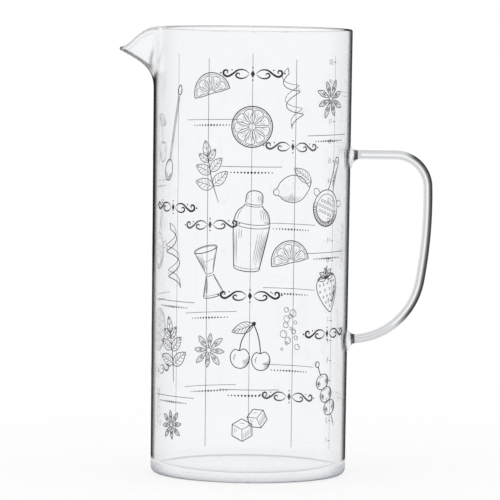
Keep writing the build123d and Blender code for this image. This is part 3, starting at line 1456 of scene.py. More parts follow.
@dataclass
class MotifPen(Pen):
    """Draws a motif about its own middle."""

    def draw(self, motif: Motif) -> list[Stroke]:
        """Draws one motif and gives its strokes."""
        getattr(self, motif.value)()
        return self.strokes

    def segment(self, radius: float, middle: float, half: float) -> None:
        """Draws one segment of a cut citrus fruit with its juice lines.

        Args:
            radius: Radius of the fruit.
            middle: Turn of the segment's middle.
            half: Half of the turn that it takes up.
        """
        side = ((0.48, 0.72), (0.78, 0.96), (0.845, 0.6))
        edge = [(0.14, 0.0), *((r, -t) for r, t in side), (0.86, 0.0), *side[::-1]]
        self.path([polar(radius * r, middle + half * t) for r, t in edge], self.detail, closed=True)
        for turn, low, high in ((-0.5, 0.5, 0.7), (-0.12, 0.36, 0.58), (0.2, 0.52, 0.76), (0.52, 0.44, 0.62)):
            first = polar(radius * low, middle + half * turn)
            self.line(first, polar(radius * high, middle + half * turn * 1.08), self.hatch, 0.75)

    def citrus_wheel(self) -> None:
        """Draws a round slice of citrus fruit."""
        radius = 12.5
        self.circle((0.0, 0.0), radius, self.bold)
        self.circle((0.0, 0.0), radius * 0.92, self.hatch)
        for k in range(9):
            self.segment(radius, 40.0 * k + 11.0, 18.0)
        for turn in range(6, 360, 24):
            self.dot(polar(radius * 0.96, turn), 0.16)

    def citrus_wedge(self) -> None:
        """Draws a half slice of citrus fruit."""
        radius = 13.0
        cut = ((-radius, 0.0), (-0.5 * radius, -0.5), (0.0, -0.3), (0.5 * radius, -0.55), (radius, 0.0))
        self.path([polar(radius, t) for t in range(0, 181, 15)], self.bold)
        self.path([polar(radius * 0.91, t) for t in range(2, 179, 16)], self.hatch)
        self.path(cut, self.outline)
        for k in range(5):
            self.segment(radius * 0.98, 18.0 + 36.0 * k, 16.0)
        for turn in range(8, 178, 14):
            self.dot(polar(radius * 0.955, turn), 0.15)

    def leaf(self, root: Point2, degrees: float, length: float, breadth: float, veins: int = 4) -> None:
        """Draws a pointed leaf with a toothed edge.

        Args:
            root: Foot of the leaf.
            degrees: Direction that it points in.
            length: From foot to tip.
            breadth: Across the middle.
            veins: Pairs of veins.
        """
        c, s = polar(1.0, degrees)

        def put(along: float, across: float) -> Point2:
            """Places a point of the leaf."""
            return root[0] + along * c - across * s, root[1] + along * s + across * c

        def half(share: float) -> float:
            """Gives the half breadth along the leaf."""
            return 0.5 * breadth * math.sin(math.pi * share**0.8) ** 0.85

        tooth_count = 14
        tooth_depth = 0.07
        edge = enumerate(steps(0.0, 1.0, tooth_count))
        teeth = [(t, half(t) * (1.0 + tooth_depth * (k % 2))) for k, t in edge]
        left = [put(length * t, across) for t, across in teeth]
        right = [put(length * t, -across) for t, across in teeth]
        rib = [put(0.0, 0.0), put(0.5 * length, 0.03 * breadth), put(0.94 * length, 0.0)]
        self.path(left + right[-2:0:-1], self.outline * 0.86, closed=True, smooth=False)
        self.path(rib, self.detail, taper=0.5)
        for k in range(veins):
            t = 0.14 + 0.62 * k / max(1, veins - 1)
            tip = min(0.95, t + 0.2)
            for side in (-1.0, 1.0):
                bow = put(length * (t + 0.11), side * half(t + 0.08) * 0.45)
                end = put(length * tip, side * half(tip) * 0.86)
                self.path([put(length * t, 0.0), bow, end], self.hatch, taper=0.7)

    def mint_sprig(self) -> None:
        """Draws a sprig of toothed leaves."""
        stem = ((-1.5, -19.0), (-0.4, -10.0), (0.2, -2.0), (0.0, 6.0), (0.3, 11.0))
        large = ((-9.0, 28.0, 13.0), (-8.0, 152.0, 12.5), (-0.5, 36.0, 11.5), (0.5, 146.0, 11.0))
        small = ((6.5, 46.0, 8.5), (7.0, 136.0, 8.5), (9.5, 91.0, 10.0))
        self.path(stem, 0.55, taper=0.4)
        for y, turn, length in large:
            self.leaf((0.0, y), turn, length, length * 0.52)
        for y, turn, length in small:
            self.leaf((0.1, y), turn, length, length * 0.5, veins=3)

    def shaker(self) -> None:
        """Draws a three-piece shaker."""
        cup = ((7.4, -22.0), (8.1, -17.0), (10.0, -3.0), (10.6, 3.5))
        dome = ((10.2, 5.6), (9.9, 8.0), (8.4, 11.2), (5.8, 13.6), (4.9, 15.0))
        cap = ((4.9, 16.2), (4.8, 19.6), (4.1, 21.6), (2.4, 22.8), (0.0, 23.2))
        for profile in (cup, dome, cap):
            self.both(profile, self.outline)
        self.arc((0.0, -22.0), 7.4, 1.9, 180.0, 360.0, self.outline)
        self.arc((0.0, -20.4), 7.5, 1.9, 190.0, 350.0, self.hatch)
        for y in (3.5, 5.6):
            self.arc((0.0, y), 10.6, 2.3, 180.0, 360.0, self.detail, taper=0.0)
        self.both(((10.6, 3.5), (10.6, 5.6)), self.detail)
        for y in (15.0, 16.2):
            self.arc((0.0, y), 5.0, 1.2, 180.0, 360.0, self.detail)
        self.shade(cup, -21.5, 1.5, (0.97, 0.9, 0.83, 0.75, 0.66, 0.55, 0.42, -0.9, -0.8))
        self.shade(cup, -6.0, 1.0, (-0.66, -0.52))
        self.shade(dome, 4.4, 13.4, (0.92, 0.8, 0.67, 0.52, -0.84))
        self.shade(cap, 16.0, 21.2, (0.86, 0.66, 0.44, -0.8))

    def jigger(self) -> None:
        """Draws a two-ended measure."""
        upper = ((2.6, 0.6), (3.4, 3.0), (5.4, 8.0), (8.2, 15.0))
        lower = ((6.9, -13.0), (5.0, -7.6), (3.2, -3.0), (2.6, -0.8))
        for profile in (upper, lower):
            self.both(profile, self.outline)
        self.ring((0.0, 15.0), 8.2, 1.9, self.outline)
        self.ring((0.0, 14.8), 7.4, 1.5, self.hatch)
        self.arc((0.0, -13.0), 6.9, 1.7, 180.0, 360.0, self.outline)
        self.arc((0.0, -11.8), 6.5, 1.6, 195.0, 345.0, self.hatch)
        for y in (0.6, -0.8):
            self.arc((0.0, y), 2.6, 0.7, 180.0, 360.0, self.detail)
        self.shade(upper, 1.0, 13.4, (0.94, 0.84, 0.73, 0.6, 0.45, -0.88))
        self.shade(lower, -13.6, -1.4, (0.94, 0.84, 0.73, 0.6, -0.86))
        self.arc((0.0, 9.2), 5.9, 1.5, 205.0, 300.0, self.hatch)

    def bar_spoon(self) -> None:
        """Draws a long spoon with a twisted stem."""
        knob = ((0.0, 27.4), (-1.5, 24.6), (-1.0, 22.4), (0.0, 22.0), (1.0, 22.4), (1.5, 24.6))
        self.ring((0.0, -21.0), 3.4, 6.0, self.outline)
        self.arc((0.0, -21.0), 2.4, 4.8, 200.0, 340.0, self.hatch)
        self.arc((0.4, -21.2), 1.7, 3.8, 210.0, 345.0, self.hatch)
        self.arc((0.0, -20.6), 2.6, 4.9, 80.0, 150.0, self.hatch)
        self.both(((0.5, -15.0), (0.55, -10.0), (0.6, -6.0)), self.detail)
        for phase in (0.0, math.pi):
            run = [(0.85 * math.cos(0.92 * k + phase), -6.0 + 0.62 * k) for k in range(41)]
            self.path(run, self.detail, smooth=False)
        self.both(((0.6, 18.8), (0.6, 22.0)), self.detail)
        self.path(knob, self.outline, closed=True)
        self.line((0.5, 23.0), (0.8, 25.2), self.hatch)

    def cherries(self) -> None:
        """Draws a pair of cherries on their stalks."""
        right = ((0.5, 0.95), (0.93, 0.45), (0.95, -0.2), (0.6, -0.8))
        rim = [(0.0, 0.82), *right, (0.0, -1.0), *((-a, b) for a, b in right[::-1])]
        for x, y, r in ((-6.2, -7.0, 6.0), (6.6, -9.4, 5.7)):
            self.path([(x + r * a, y + r * b) for a, b in rim], self.outline, closed=True)
            self.arc((x, y), r * 0.62, r * 0.62, 130.0, 195.0, self.detail)
            for k in range(6):
                reach = r * (0.9 - 0.11 * k)
                self.arc((x, y), reach, reach, -78.0 + 7.0 * k, 18.0 - 10.0 * k, self.hatch, taper=0.7)
            self.arc((x, y + 0.92 * r), 0.26 * r, 0.12 * r, 180.0, 360.0, self.hatch)
        self.path(((-6.2, -2.2), (-4.4, 4.0), (-0.6, 10.0), (3.4, 13.6)), self.bold)
        self.path(((6.6, -4.8), (6.4, 2.0), (5.2, 8.6), (3.4, 13.6)), self.bold)
        self.fill(((2.4, 13.2), (4.4, 12.8), (4.8, 14.6), (3.0, 15.0)))
        self.leaf((3.2, 13.4), 196.0, 14.0, 6.4, veins=5)

    def olive_pick(self) -> None:
        """Draws three stuffed olives on a pick."""
        self.line((0.0, -21.0), (0.0, -13.2), self.bold, 0.3)
        self.line((0.0, 13.0), (0.0, 18.5), self.bold, 0.0)
        self.circle((0.0, 20.4), 1.7, self.outline)
        self.arc((0.0, 20.4), 0.9, 0.9, 100.0, 190.0, self.hatch)
        for y in (-8.6, 0.0, 8.6):
            self.ring((0.0, y), 5.6, 4.5, self.outline)
            self.ring((-3.5, y + 0.3), 1.25, 1.7, self.detail, 6.0)
            self.dot((-3.5, y + 0.3), 0.7, 1.3)
            for k in range(5):
                first, last = -70.0 + 6.0 * k, 40.0 - 9.0 * k
                self.arc((0.0, y), 5.1 - 0.62 * k, 4.0 - 0.5 * k, first, last, self.hatch, taper=0.7)
            self.arc((0.0, y), 4.2, 3.2, 60.0, 115.0, self.hatch)

    def strainer(self) -> None:
        """Draws a flat bar strainer with its spring."""
        ear = ((9.8, -3.0), (12.6, -2.2), (13.2, 0.2), (11.0, 1.2), (8.3, -0.4))
        self.circle((0.0, -7.0), 10.6, self.outline)
        self.circle((0.0, -7.0), 8.2, self.detail)
        for turn in range(186, 366, 9):
            x, y = polar(9.6, turn)
            self.circle((x, y - 7.0), 1.35, self.hatch)
        for row, count in ((2.0, 5), (-1.0, 6), (-4.0, 5)):
            for k in range(count):
                self.circle(((k - 0.5 * (count - 1)) * 2.5, row - 6.0), 0.75, self.hatch)
        self.both([(-x, y) for x, y in ear], self.detail)
        self.both(((2.6, 3.4), (1.8, 7.0), (1.7, 17.0), (2.1, 21.0)), self.outline)
        self.path(((-2.1, 21.0), (-1.6, 23.2), (0.0, 24.0), (1.6, 23.2), (2.1, 21.0)), self.outline)
        self.circle((0.0, 21.0), 0.9, self.detail)
        self.line((0.9, 6.0), (0.9, 18.0), self.hatch)
        self.line((0.3, 7.0), (0.3, 15.0), self.hatch)

    def strawberry(self) -> None:
        """Draws a strawberry with its leaves."""
        right = ((4.2, 8.8), (8.3, 6.4), (8.9, 1.4), (6.6, -5.0), (3.0, -10.4))
        rim = [(0.0, 7.6), *right, (0.0, -13.0), *((-x, y) for x, y in right[::-1])]
        seeds = ((4.2, 6.6, 5), (0.6, 6.4, 4), (-3.0, 4.7, 4), (-6.6, 2.6, 2), (-9.6, 0.2, 1))
        self.path(rim, self.outline, closed=True)
        for row, (y, half, count) in enumerate(seeds):
            for k in range(count):
                x = (k - 0.5 * (count - 1)) * 2.0 * half / max(1, count - 1) + 0.3 * (-1) ** row
                seed = ((x, y + 0.8), (x + 0.45, y - 0.1), (x, y - 0.6), (x - 0.45, y - 0.1))
                self.path(seed, self.hatch, closed=True)
        for k in range(5):
            first, last = (8.2 - 0.9 * k, 3.4 - 1.0 * k), (5.0 - 0.8 * k, -5.6 - 1.1 * k)
            self.path((first, (7.2 - 0.9 * k, -1.4 - 1.2 * k), last), self.hatch, taper=0.8)
        for turn, length in ((4.0, 7.4), (40.0, 6.6), (90.0, 6.0), (140.0, 6.6), (176.0, 7.4)):
            self.leaf((0.0, 7.6), turn, length, 3.3, veins=0)
        self.path(((0.0, 8.0), (0.5, 11.4), (2.2, 14.4)), 0.7, taper=0.2)

    def lemon(self) -> None:
        """Draws a whole lemon on a leafy stalk."""
        rim = (
            (-13.6, -1.0), (-12.2, 0.6), (-9.4, 5.0), (-4.0, 8.2), (2.4, 8.0), (7.6, 5.2),
            (10.2, 2.0), (12.6, 0.8), (13.2, -0.8), (12.4, -2.2), (10.0, -3.0), (6.8, -6.4),
            (1.0, -8.6), (-5.2, -8.0), (-10.0, -4.8), (-12.4, -2.4),
        )
        pores = (
            (-7.0, 2.6), (-4.2, 5.0), (-1.4, 3.4), (1.8, 5.4), (4.6, 3.2),
            (-5.0, 0.4), (0.4, 0.6), (-8.6, -0.6), (3.0, 0.8),
        )
        self.path(rim, self.outline, closed=True)
        for k in range(7):
            first, last = -128.0 + 7.0 * k, -18.0 - 9.0 * k
            self.arc((0.0, 0.0), 9.9 - 0.95 * k, 7.6 - 0.75 * k, first, last, self.hatch, taper=0.75)
        for pore in pores:
            self.dot(pore, 0.2)
        self.arc((11.0, -0.6), 1.6, 1.8, 100.0, 250.0, self.hatch)
        self.path(((-13.4, -0.8), (-15.0, 1.6), (-15.4, 4.6)), 0.7, taper=0.2)
        self.leaf((-15.0, 2.4), 42.0, 15.5, 7.0, veins=5)

    def star_anise(self) -> None:
        """Draws a star anise pod."""
        shape = ((0.16, 0.0), (0.42, -13.0), (0.7, -11.5), (1.0, 1.0), (0.7, 11.5), (0.42, 13.0))
        for k in range(8):
            middle = 45.0 * k + 6.0
            reach = 12.0 if k % 2 else 10.8
            self.path([polar(reach * r, middle + t) for r, t in shape], self.outline * 0.9, closed=True)
            seed = polar(reach * 0.56, middle)
            self.ring(seed, reach * 0.13, reach * 0.075, self.detail, middle)
            self.dot(seed, reach * 0.07, 0.55, middle)
            self.line(polar(reach * 0.24, middle - 5.0), polar(reach * 0.4, middle - 4.0), self.hatch)
            self.line(polar(reach * 0.72, middle - 5.0), polar(reach * 0.92, middle), self.hatch)
            self.line(polar(reach * 0.72, middle + 4.0), polar(reach * 0.88, middle + 2.0), self.hatch)
        self.circle((0.0, 0.0), 1.4, self.detail)

    def peel_twist(self) -> None:
        """Draws a curl of citrus peel."""
        count = 48
        turns = steps(0.0, 4.5 * math.pi, count)
        front = []
        back = []
        for turn, t in zip(turns, steps(0.0, 1.0, count)):
            x = (4.6 + 1.2 * math.sin(math.pi * t)) * math.cos(turn)
            front.append((x, -18.0 + 33.0 * t + 1.5 * math.sin(turn)))
            back.append((x, -14.2 + 33.0 * t + 1.5 * math.sin(turn)))
        self.path(front, self.outline, smooth=False)
        self.path(back, self.detail, smooth=False)
        for end in (0, -1):
            self.line(front[end], back[end], self.outline, 0.0)
        for k in range(2, count, 2):
            if math.sin(turns[k]) < 0.1:
                (x0, y0), (x1, y1) = front[k], back[k]
                share = 0.35 + 0.3 * ((k * 7) % 5) / 5
                self.line((x0, y0), (x0 + (x1 - x0) * share, y0 + (y1 - y0) * share), self.hatch, 0.7)

    def ice_cubes(self) -> None:
        """Draws two lumps of ice."""
        rim = ((-7.0, 3.4), (-0.6, 7.6), (6.6, 4.2), (7.0, -3.6), (0.4, -8.0), (-6.8, -4.4))
        glints = (((-5.2, 1.2), (-5.0, -2.6)), ((-4.0, 0.4), (-3.9, -1.6)), ((-2.0, 4.6), (1.8, 4.4)))
        for x, y, size, lean in ((-4.6, -3.4, 1.0, -8.0), (6.4, 3.6, 0.9, 14.0)):
            c, s = polar(size, lean)

            def put(a: float, b: float) -> Point2:
                """Places a corner of the lump."""
                return x + a * c - b * s, y + a * s + b * c

            self.path([put(*p) for p in rim], self.outline, closed=True, smooth=False)
            self.path([put(-7.0, 3.4), put(-0.2, 0.2), put(6.6, 4.2)], self.detail, smooth=False)
            self.line(put(-0.2, 0.2), put(0.4, -8.0), self.detail, 0.2)
            for k in range(5):
                across = 1.4 + 1.1 * k
                self.line(put(across, -6.4 + 0.8 * k), put(across, -2.0 + 1.1 * k), self.hatch)
            for first, last in glints:
                self.line(put(*first), put(*last), self.hatch)

    def flourish(self) -> None:
        """Draws a level pair of scrolls about a lozenge."""
        scroll = (
            (2.3, 0.3), (5.4, 2.5), (9.6, 2.4), (13.2, -0.2), (16.4, -1.8),
            (19.0, -0.6), (18.9, 1.7), (17.0, 2.2), (16.3, 0.9), (17.2, 0.2),
        )
        curl = ((2.3, -0.3), (5.0, -2.5), (8.6, -2.9), (10.9, -1.5), (10.3, 0.2), (8.8, 0.2), (8.5, -0.9))
        for side in (-1.0, 1.0):
            self.path([(side * x, y) for x, y in scroll], 1.3, taper=0.8)
            self.path([(side * x, y) for x, y in curl], 1.0, taper=0.75)
            self.dot((side * 21.0, 0.4), 0.6)
            self.dot((side * 13.6, 2.4), 0.5)
        self.fill(((0.0, 2.7), (1.4, 0.0), (0.0, -2.7), (-1.4, 0.0)), smooth=False)
        for y in (-4.0, 4.0):
            self.dot((0.0, y), 0.55)

    def bubbles(self) -> None:
        """Draws a rising trail of bubbles."""
        for k in range(14):
            x, _ = polar(5.4 - 0.22 * k, 137.5 * k + 20.0)
            y = 1.75 * k - 12.0
            radius = 0.75 + 0.22 * ((k * 4) % 7)
            self.circle((x, y), radius, self.detail)
            if radius > 1.1:
                self.arc((x, y), radius * 0.58, radius * 0.58, 105.0, 185.0, self.hatch)

    def divider(self) -> None:
        """Draws a thin rule over a row of beads."""
        self.line((-17.0, 0.0), (17.0, 0.0), 0.3, 0.0)
        for k in range(-6, 7):
            self.dot((1.9 * k, -3.2), 0.68 - 0.05 * abs(k))


@dataclass(frozen=True)
class Spot:
    """Where a drawing sits on the wall, with its turn in degrees from the front, towards the handle."""

    turn: float
    height: float = 0.0
    tilt: float = 0.0
    size: float = 1.0


@dataclass
class PrintMesh:
    """The corners and faces of one printed piece, a thin solid that is sunk a little into the wall."""

    vessel: Vessel
    ink: Material
    proud: float = 0.05
    sunk: float = 0.02
    longest_span: float = 1.6
    points: list[Point3] = field(default_factory=list)
    faces: list[Face] = field(default_factory=list)

    def on_wall(self, point: Point2, spot: Spot) -> tuple[Point3, Point3]:
        """Turns and sizes a point of a drawing and wraps it round the wall.

        Args:
            point: The point, across and up.
            spot: Where its drawing sits.

        Returns:
            The points above and below the glass.
        """
        c, s = polar(spot.size, spot.tilt)
        up = spot.height + point[0] * s + point[1] * c
        r = self.vessel.outer_radius(up)
        angle = math.radians(spot.turn) + (point[0] * c - point[1] * s) / r
        top, low = r + self.proud, r - self.sunk
        sine, cosine = math.sin(angle), math.cos(angle)
        return (top * sine, -top * cosine, up), (low * sine, -low * cosine, up)

    def fine(self, stroke: Stroke) -> list[Point2]:
        """Splits a stroke's long spans so that it follows the round wall.

        Args:
            stroke: The stroke.

        Returns:
            Its points, without the first one again at the end of a loop.
        """
        points = list(stroke.points)
        if stroke.kind is StrokeKind.LOOP:
            points.append(points[0])
        run = [points[0]]
        for (x0, y0), (x1, y1) in zip(points, points[1:]):
            parts = max(1, math.ceil(math.hypot(x1 - x0, y1 - y0) / self.longest_span))
            run += list(zip(steps(x0, x1, parts), steps(y0, y1, parts)))[1:]
        if stroke.kind is StrokeKind.LOOP:
            run.pop()
        return run

    def lay(self, strokes: Iterable[Stroke], spot: Spot) -> None:
        """Lays the strokes of a drawing on the wall.

        Args:
            strokes: The strokes.
            spot: Where the drawing sits.
        """
        for stroke in strokes:
            if stroke.kind is StrokeKind.FILL:
                self.lay_fill(stroke, spot)
            else:
                self.lay_line(stroke, spot)

    def lay_fill(self, stroke: Stroke, spot: Spot) -> None:
        """Lays a solid shape on the wall as fans about its middle.

        Args:
            stroke: The shape.
            spot: Where its drawing sits.
        """
        first, n = len(self.points), len(stroke.points)
        middle = (sum(p[0] for p in stroke.points) / n, sum(p[1] for p in stroke.points) / n)
        above, below = zip(*(self.on_wall(p, spot) for p in stroke.points))
        self.points += [*above, *below, *self.on_wall(middle, spot)]
        top, bottom = first + 2 * n, first + 2 * n + 1
        for k in range(n):
            a, b = first + k, first + (k + 1) % n
            self.faces += [(top, a, b), (bottom, b + n, a + n), (a, a + n, b + n, b)]

    def lay_line(self, stroke: Stroke, spot: Spot) -> None:
        """Lays a pen line on the wall as a strip, thinner towards tapered ends.

        Args:
            stroke: The line.
            spot: Where its drawing sits.
        """
        run = self.fine(stroke)
        first, n = len(self.points), len(run)
        is_loop = stroke.kind is StrokeKind.LOOP
        for k, (x, y) in enumerate(run):
            before = run[k - 1] if k or is_loop else (x, y)
            after = run[(k + 1) % n] if k + 1 < n or is_loop else (x, y)
            dx, dy = after[0] - before[0], after[1] - before[1]
            length = math.hypot(dx, dy) or 1.0
            share = abs(2.0 * k / (n - 1) - 1.0)
            half = 0.5 * stroke.width * (1.0 - stroke.taper * share**2) / spot.size**0.5
            nx, ny = -dy / length * half, dx / length * half
            sides = (self.on_wall((x + nx, y + ny), spot), self.on_wall((x - nx, y - ny), spot))
            above, below = zip(*sides)
            self.points += [*above, *below]
        for k in range(n if is_loop else n - 1):
            a, b = first + 4 * k, first + 4 * ((k + 1) % n)
            self.faces += [(a, b, b + 1, a + 1), (a + 2, a + 3, b + 3, b + 2)]
            self.faces += [(a, a + 2, b + 2, b), (a + 1, b + 1, b + 3, a + 3)]
        if not is_loop:
            last = first + 4 * (n - 1)
            self.faces += [(first, first + 1, first + 3, first + 2), (last, last + 2, last + 3, last + 1)]

    def build(self, name: str) -> Piece:
        """Makes the printed piece."""
        return mesh_object(name, self.points, self.faces, (self.ink,), smooth=False)


@dataclass(frozen=True)
class Figure:
    """The line of a printed figure, in shares of its height."""

    points: tuple[Point2, ...]
    closed: bool = False
    smooth: bool = True


FIGURES = (
    Figure(((0.3, 1.0), (0.05, 0.72), (0.05, 0.28), (0.3, 0.0), (0.55, 0.28), (0.55, 0.72)), closed=True),
    Figure(((0.12, 0.8), (0.36, 1.0), (0.36, 0.5), (0.36, 0.0)), smooth=False),
    Figure(((0.06, 0.76), (0.28, 1.0), (0.53, 0.76), (0.34, 0.4), (0.05, 0.0), (0.57, 0.0))),
    Figure(((0.06, 0.84), (0.3, 1.0), (0.52, 0.78), (0.26, 0.54), (0.55, 0.27), (0.3, 0.0), (0.04, 0.16))),
    Figure(((0.44, 0.0), (0.44, 1.0), (0.03, 0.3), (0.58, 0.3)), smooth=False),
    Figure(((0.52, 1.0), (0.14, 1.0), (0.09, 0.56), (0.34, 0.63), (0.55, 0.33), (0.3, 0.0), (0.04, 0.14))),
    Figure(((0.46, 0.97), (0.12, 0.62), (0.05, 0.25), (0.3, 0.0), (0.55, 0.26), (0.32, 0.54), (0.08, 0.34))),
    Figure(((0.04, 1.0), (0.56, 1.0), (0.24, 0.0)), smooth=False),
    Figure((
        (0.3, 0.53), (0.08, 0.76), (0.3, 1.0), (0.52, 0.76),
        (0.3, 0.53), (0.04, 0.25), (0.3, 0.0), (0.56, 0.25),
    ), closed=True),
    Figure(((0.14, 0.03), (0.48, 0.38), (0.55, 0.75), (0.3, 1.0), (0.05, 0.74), (0.28, 0.46), (0.52, 0.66))),
)


@dataclass
class FillingScale:
    """The scale of filling marks, numbered in decilitres."""

    vessel: Vessel
    turn: float = 119.0
    marks: int = 20
    mark_volume: float = 100.0
    fill_step: float = 0.05
    line_width: float = 0.26
    line_past: Span = (5.0, 4.0)
    mark: Span = (-0.9, 1.9)
    mark_width: float = 0.4
    figure_left: float = 2.9
    figure_pitch: float = 1.9
    figure_drop: float = 1.3
    figure_height: float = 2.6
    figure_width: float = 0.3

    def heights(self) -> list[float]:
        """Works out the filling height of each mark.

        Returns:
            Heights in millimetres, upwards.
        """
        vessel = self.vessel
        floor = vessel.floor + vessel.punt
        bend = vessel.inner_heel_radius
        z = floor
        held = 0.0
        found: list[float] = []
        while len(found) < self.marks:
            r = vessel.outer_radius(z) - vessel.wall
            up = z - floor
            if up < bend:
                r -= bend - math.sqrt(bend**2 - (bend - up) ** 2)
            held += math.pi * r * r * self.fill_step * ML_PER_CUBIC_MM
            z += self.fill_step
            if held >= self.mark_volume * (len(found) + 1):
                found.append(z)
        return found

    def strokes(self) -> list[Stroke]:
        """Draws the scale.

        Returns:
            Its strokes, at their heights on the wall.
        """
        pen = Pen()
        heights = self.heights()
        below, above = self.line_past
        pen.line((0.0, heights[0] - below), (0.0, heights[-1] + above), self.line_width, 0.0)
        for number, z in enumerate(heights, start=1):
            pen.line((self.mark[0], z), (self.mark[1], z), self.mark_width, 0.0)
            for k, digit in enumerate(str(number)):
                figure = FIGURES[int(digit)]
                size = self.figure_height
                left = self.figure_left + self.figure_pitch * k
                run = [(left + a * size, z - self.figure_drop + b * size) for a, b in figure.points]
                pen.path(run, self.figure_width, closed=figure.closed, smooth=figure.smooth)
        return pen.strokes


@dataclass(frozen=True)
class Mark:
    """One drawing in a column."""

    motif: Motif
    height: float
    tilt: float = 0.0
    size: float = 1.0


@dataclass(frozen=True)
class Column:
    """Drawings above each other at one turn from the front, towards the handle."""

    turn: float
    marks: tuple[Mark, ...]


@dataclass
class WallPrint:
    """The fired print on the outside of the wall, with a filling scale at the back."""

    vessel: Vessel
    ink: Material
    rule_low: float = 20.0
    rule_width: float = 0.26

    # Upright rules between the columns, as turn and top
    rules: tuple[Point2, ...] = (
        (-128.6, 234.0), (-77.1, 206.0), (-25.7, 234.0), (25.7, 234.0), (77.1, 234.0), (180.0, 234.0),
    )
    columns: tuple[Column, ...] = (
        Column(0.0, (
            Mark(Motif.FLOURISH, 226.0, size=0.85),
            Mark(Motif.CITRUS_WHEEL, 197.0, 12.0, 0.9),
            Mark(Motif.DIVIDER, 175.0),
            Mark(Motif.SHAKER, 140.0, -6.0, 0.95),
            Mark(Motif.FLOURISH, 104.0, size=0.85),
            Mark(Motif.CHERRIES, 76.0, 4.0, 0.9),
            Mark(Motif.DIVIDER, 52.0),
            Mark(Motif.ICE_CUBES, 33.0, 6.0, 0.8),
        )),
        Column(51.4, (
            Mark(Motif.STAR_ANISE, 212.0, 14.0, 0.95),
            Mark(Motif.DIVIDER, 192.0),
            Mark(Motif.STRAINER, 158.0, -20.0, 0.95),
            Mark(Motif.DIVIDER, 127.0),
            Mark(Motif.STRAWBERRY, 106.0, 12.0, 0.95),
            Mark(Motif.FLOURISH, 82.0, size=0.85),
            Mark(Motif.OLIVE_PICK, 48.0, 24.0, 0.92),
        )),
        Column(-51.4, (
            Mark(Motif.BAR_SPOON, 192.0, -12.0),
            Mark(Motif.FLOURISH, 151.0, size=0.85),
            Mark(Motif.PEEL_TWIST, 123.0, 8.0, 0.95),
            Mark(Motif.DIVIDER, 99.0),
            Mark(Motif.MINT_SPRIG, 72.0, 10.0, 0.95),
            Mark(Motif.DIVIDER, 46.0),
            Mark(Motif.STAR_ANISE, 30.0, size=0.75),
        )),
        Column(-154.3, (
            Mark(Motif.CITRUS_WEDGE, 211.0, -14.0, 0.9),
            Mark(Motif.DIVIDER, 196.0),
            Mark(Motif.MINT_SPRIG, 166.0, -12.0, 0.95),
            Mark(Motif.FLOURISH, 136.0, size=0.85),
            Mark(Motif.JIGGER, 108.0, -12.0, 0.95),
            Mark(Motif.DIVIDER, 86.0),
            Mark(Motif.STAR_ANISE, 64.0, size=0.9),
            Mark(Motif.DIVIDER, 44.0),
        )),
        Column(154.3, (
            Mark(Motif.PEEL_TWIST, 208.0, -12.0, 0.9),
            Mark(Motif.FLOURISH, 181.0, size=0.85),
            Mark(Motif.LEMON, 157.0, -10.0, 0.9),
            Mark(Motif.DIVIDER, 137.0),
            Mark(Motif.CITRUS_WEDGE, 115.0, -14.0, 0.95),
            Mark(Motif.DIVIDER, 100.0),
            Mark(Motif.BUBBLES, 77.0),
            Mark(Motif.DIVIDER, 56.0),
            Mark(Motif.FLOURISH, 38.0, size=0.85),
        )),
        Column(-102.9, (
            Mark(Motif.CHERRIES, 186.0, 4.0, 0.95),
            Mark(Motif.DIVIDER, 163.0),
            Mark(Motif.STRAINER, 130.0, 16.0, 0.95),
            Mark(Motif.DIVIDER, 99.0),
            Mark(Motif.CITRUS_WHEEL, 79.0, size=0.95),
            Mark(Motif.FLOURISH, 56.0, size=0.85),
            Mark(Motif.BUBBLES, 35.0, size=0.9),
        )),
        Column(98.0, (
            Mark(Motif.DIVIDER, 214.0, size=0.7),
            Mark(Motif.DIVIDER, 44.0, size=0.7),
        )),
        Column(100.0, (Mark(Motif.BUBBLES, 128.0),)),
    )

    def spots(self) -> list[tuple[Motif, Spot]]:
        """Lists the drawings with their places.

        Returns:
            Motif and place of each drawing, column by column.
        """
        found = []
        for column in self.columns:
            for mark in column.marks:
                found.append((mark.motif, Spot(column.turn, mark.height, mark.tilt, mark.size)))
        return found

    def build_scale(self) -> Piece:
        """Builds the filling scale.

        Returns:
            The scale.
        """
        scale = FillingScale(self.vessel)
        sheet = PrintMesh(self.vessel, self.ink)
        sheet.lay(scale.strokes(), Spot(scale.turn))
        return sheet.build("print_scale")

    def build_rules(self) -> Piece:
        """Builds the upright rules between the columns and the dividers in them.

        Returns:
            The rules.
        """
        sheet = PrintMesh(self.vessel, self.ink)
        for turn, high in self.rules:
            sheet.lay([Stroke(((0.0, self.rule_low), (0.0, high)), self.rule_width)], Spot(turn))
        for motif, spot in self.spots():
            if motif is Motif.DIVIDER:
                sheet.lay(MotifPen().draw(motif), spot)
        return sheet.build("print_rules")

    def build(self) -> list[Piece]:
        """Builds the whole print.

        Returns:
            The printed pieces.
        """
        made = [self.build_scale(), self.build_rules()]
        pictures = [(motif, spot) for motif, spot in self.spots() if motif is not Motif.DIVIDER]
        for number, (motif, spot) in enumerate(pictures, start=1):
            sheet = PrintMesh(self.vessel, self.ink)
            sheet.lay(MotifPen().draw(motif), spot)
            made.append(sheet.build(f"print_{motif.value}_{number:02d}"))
        return made


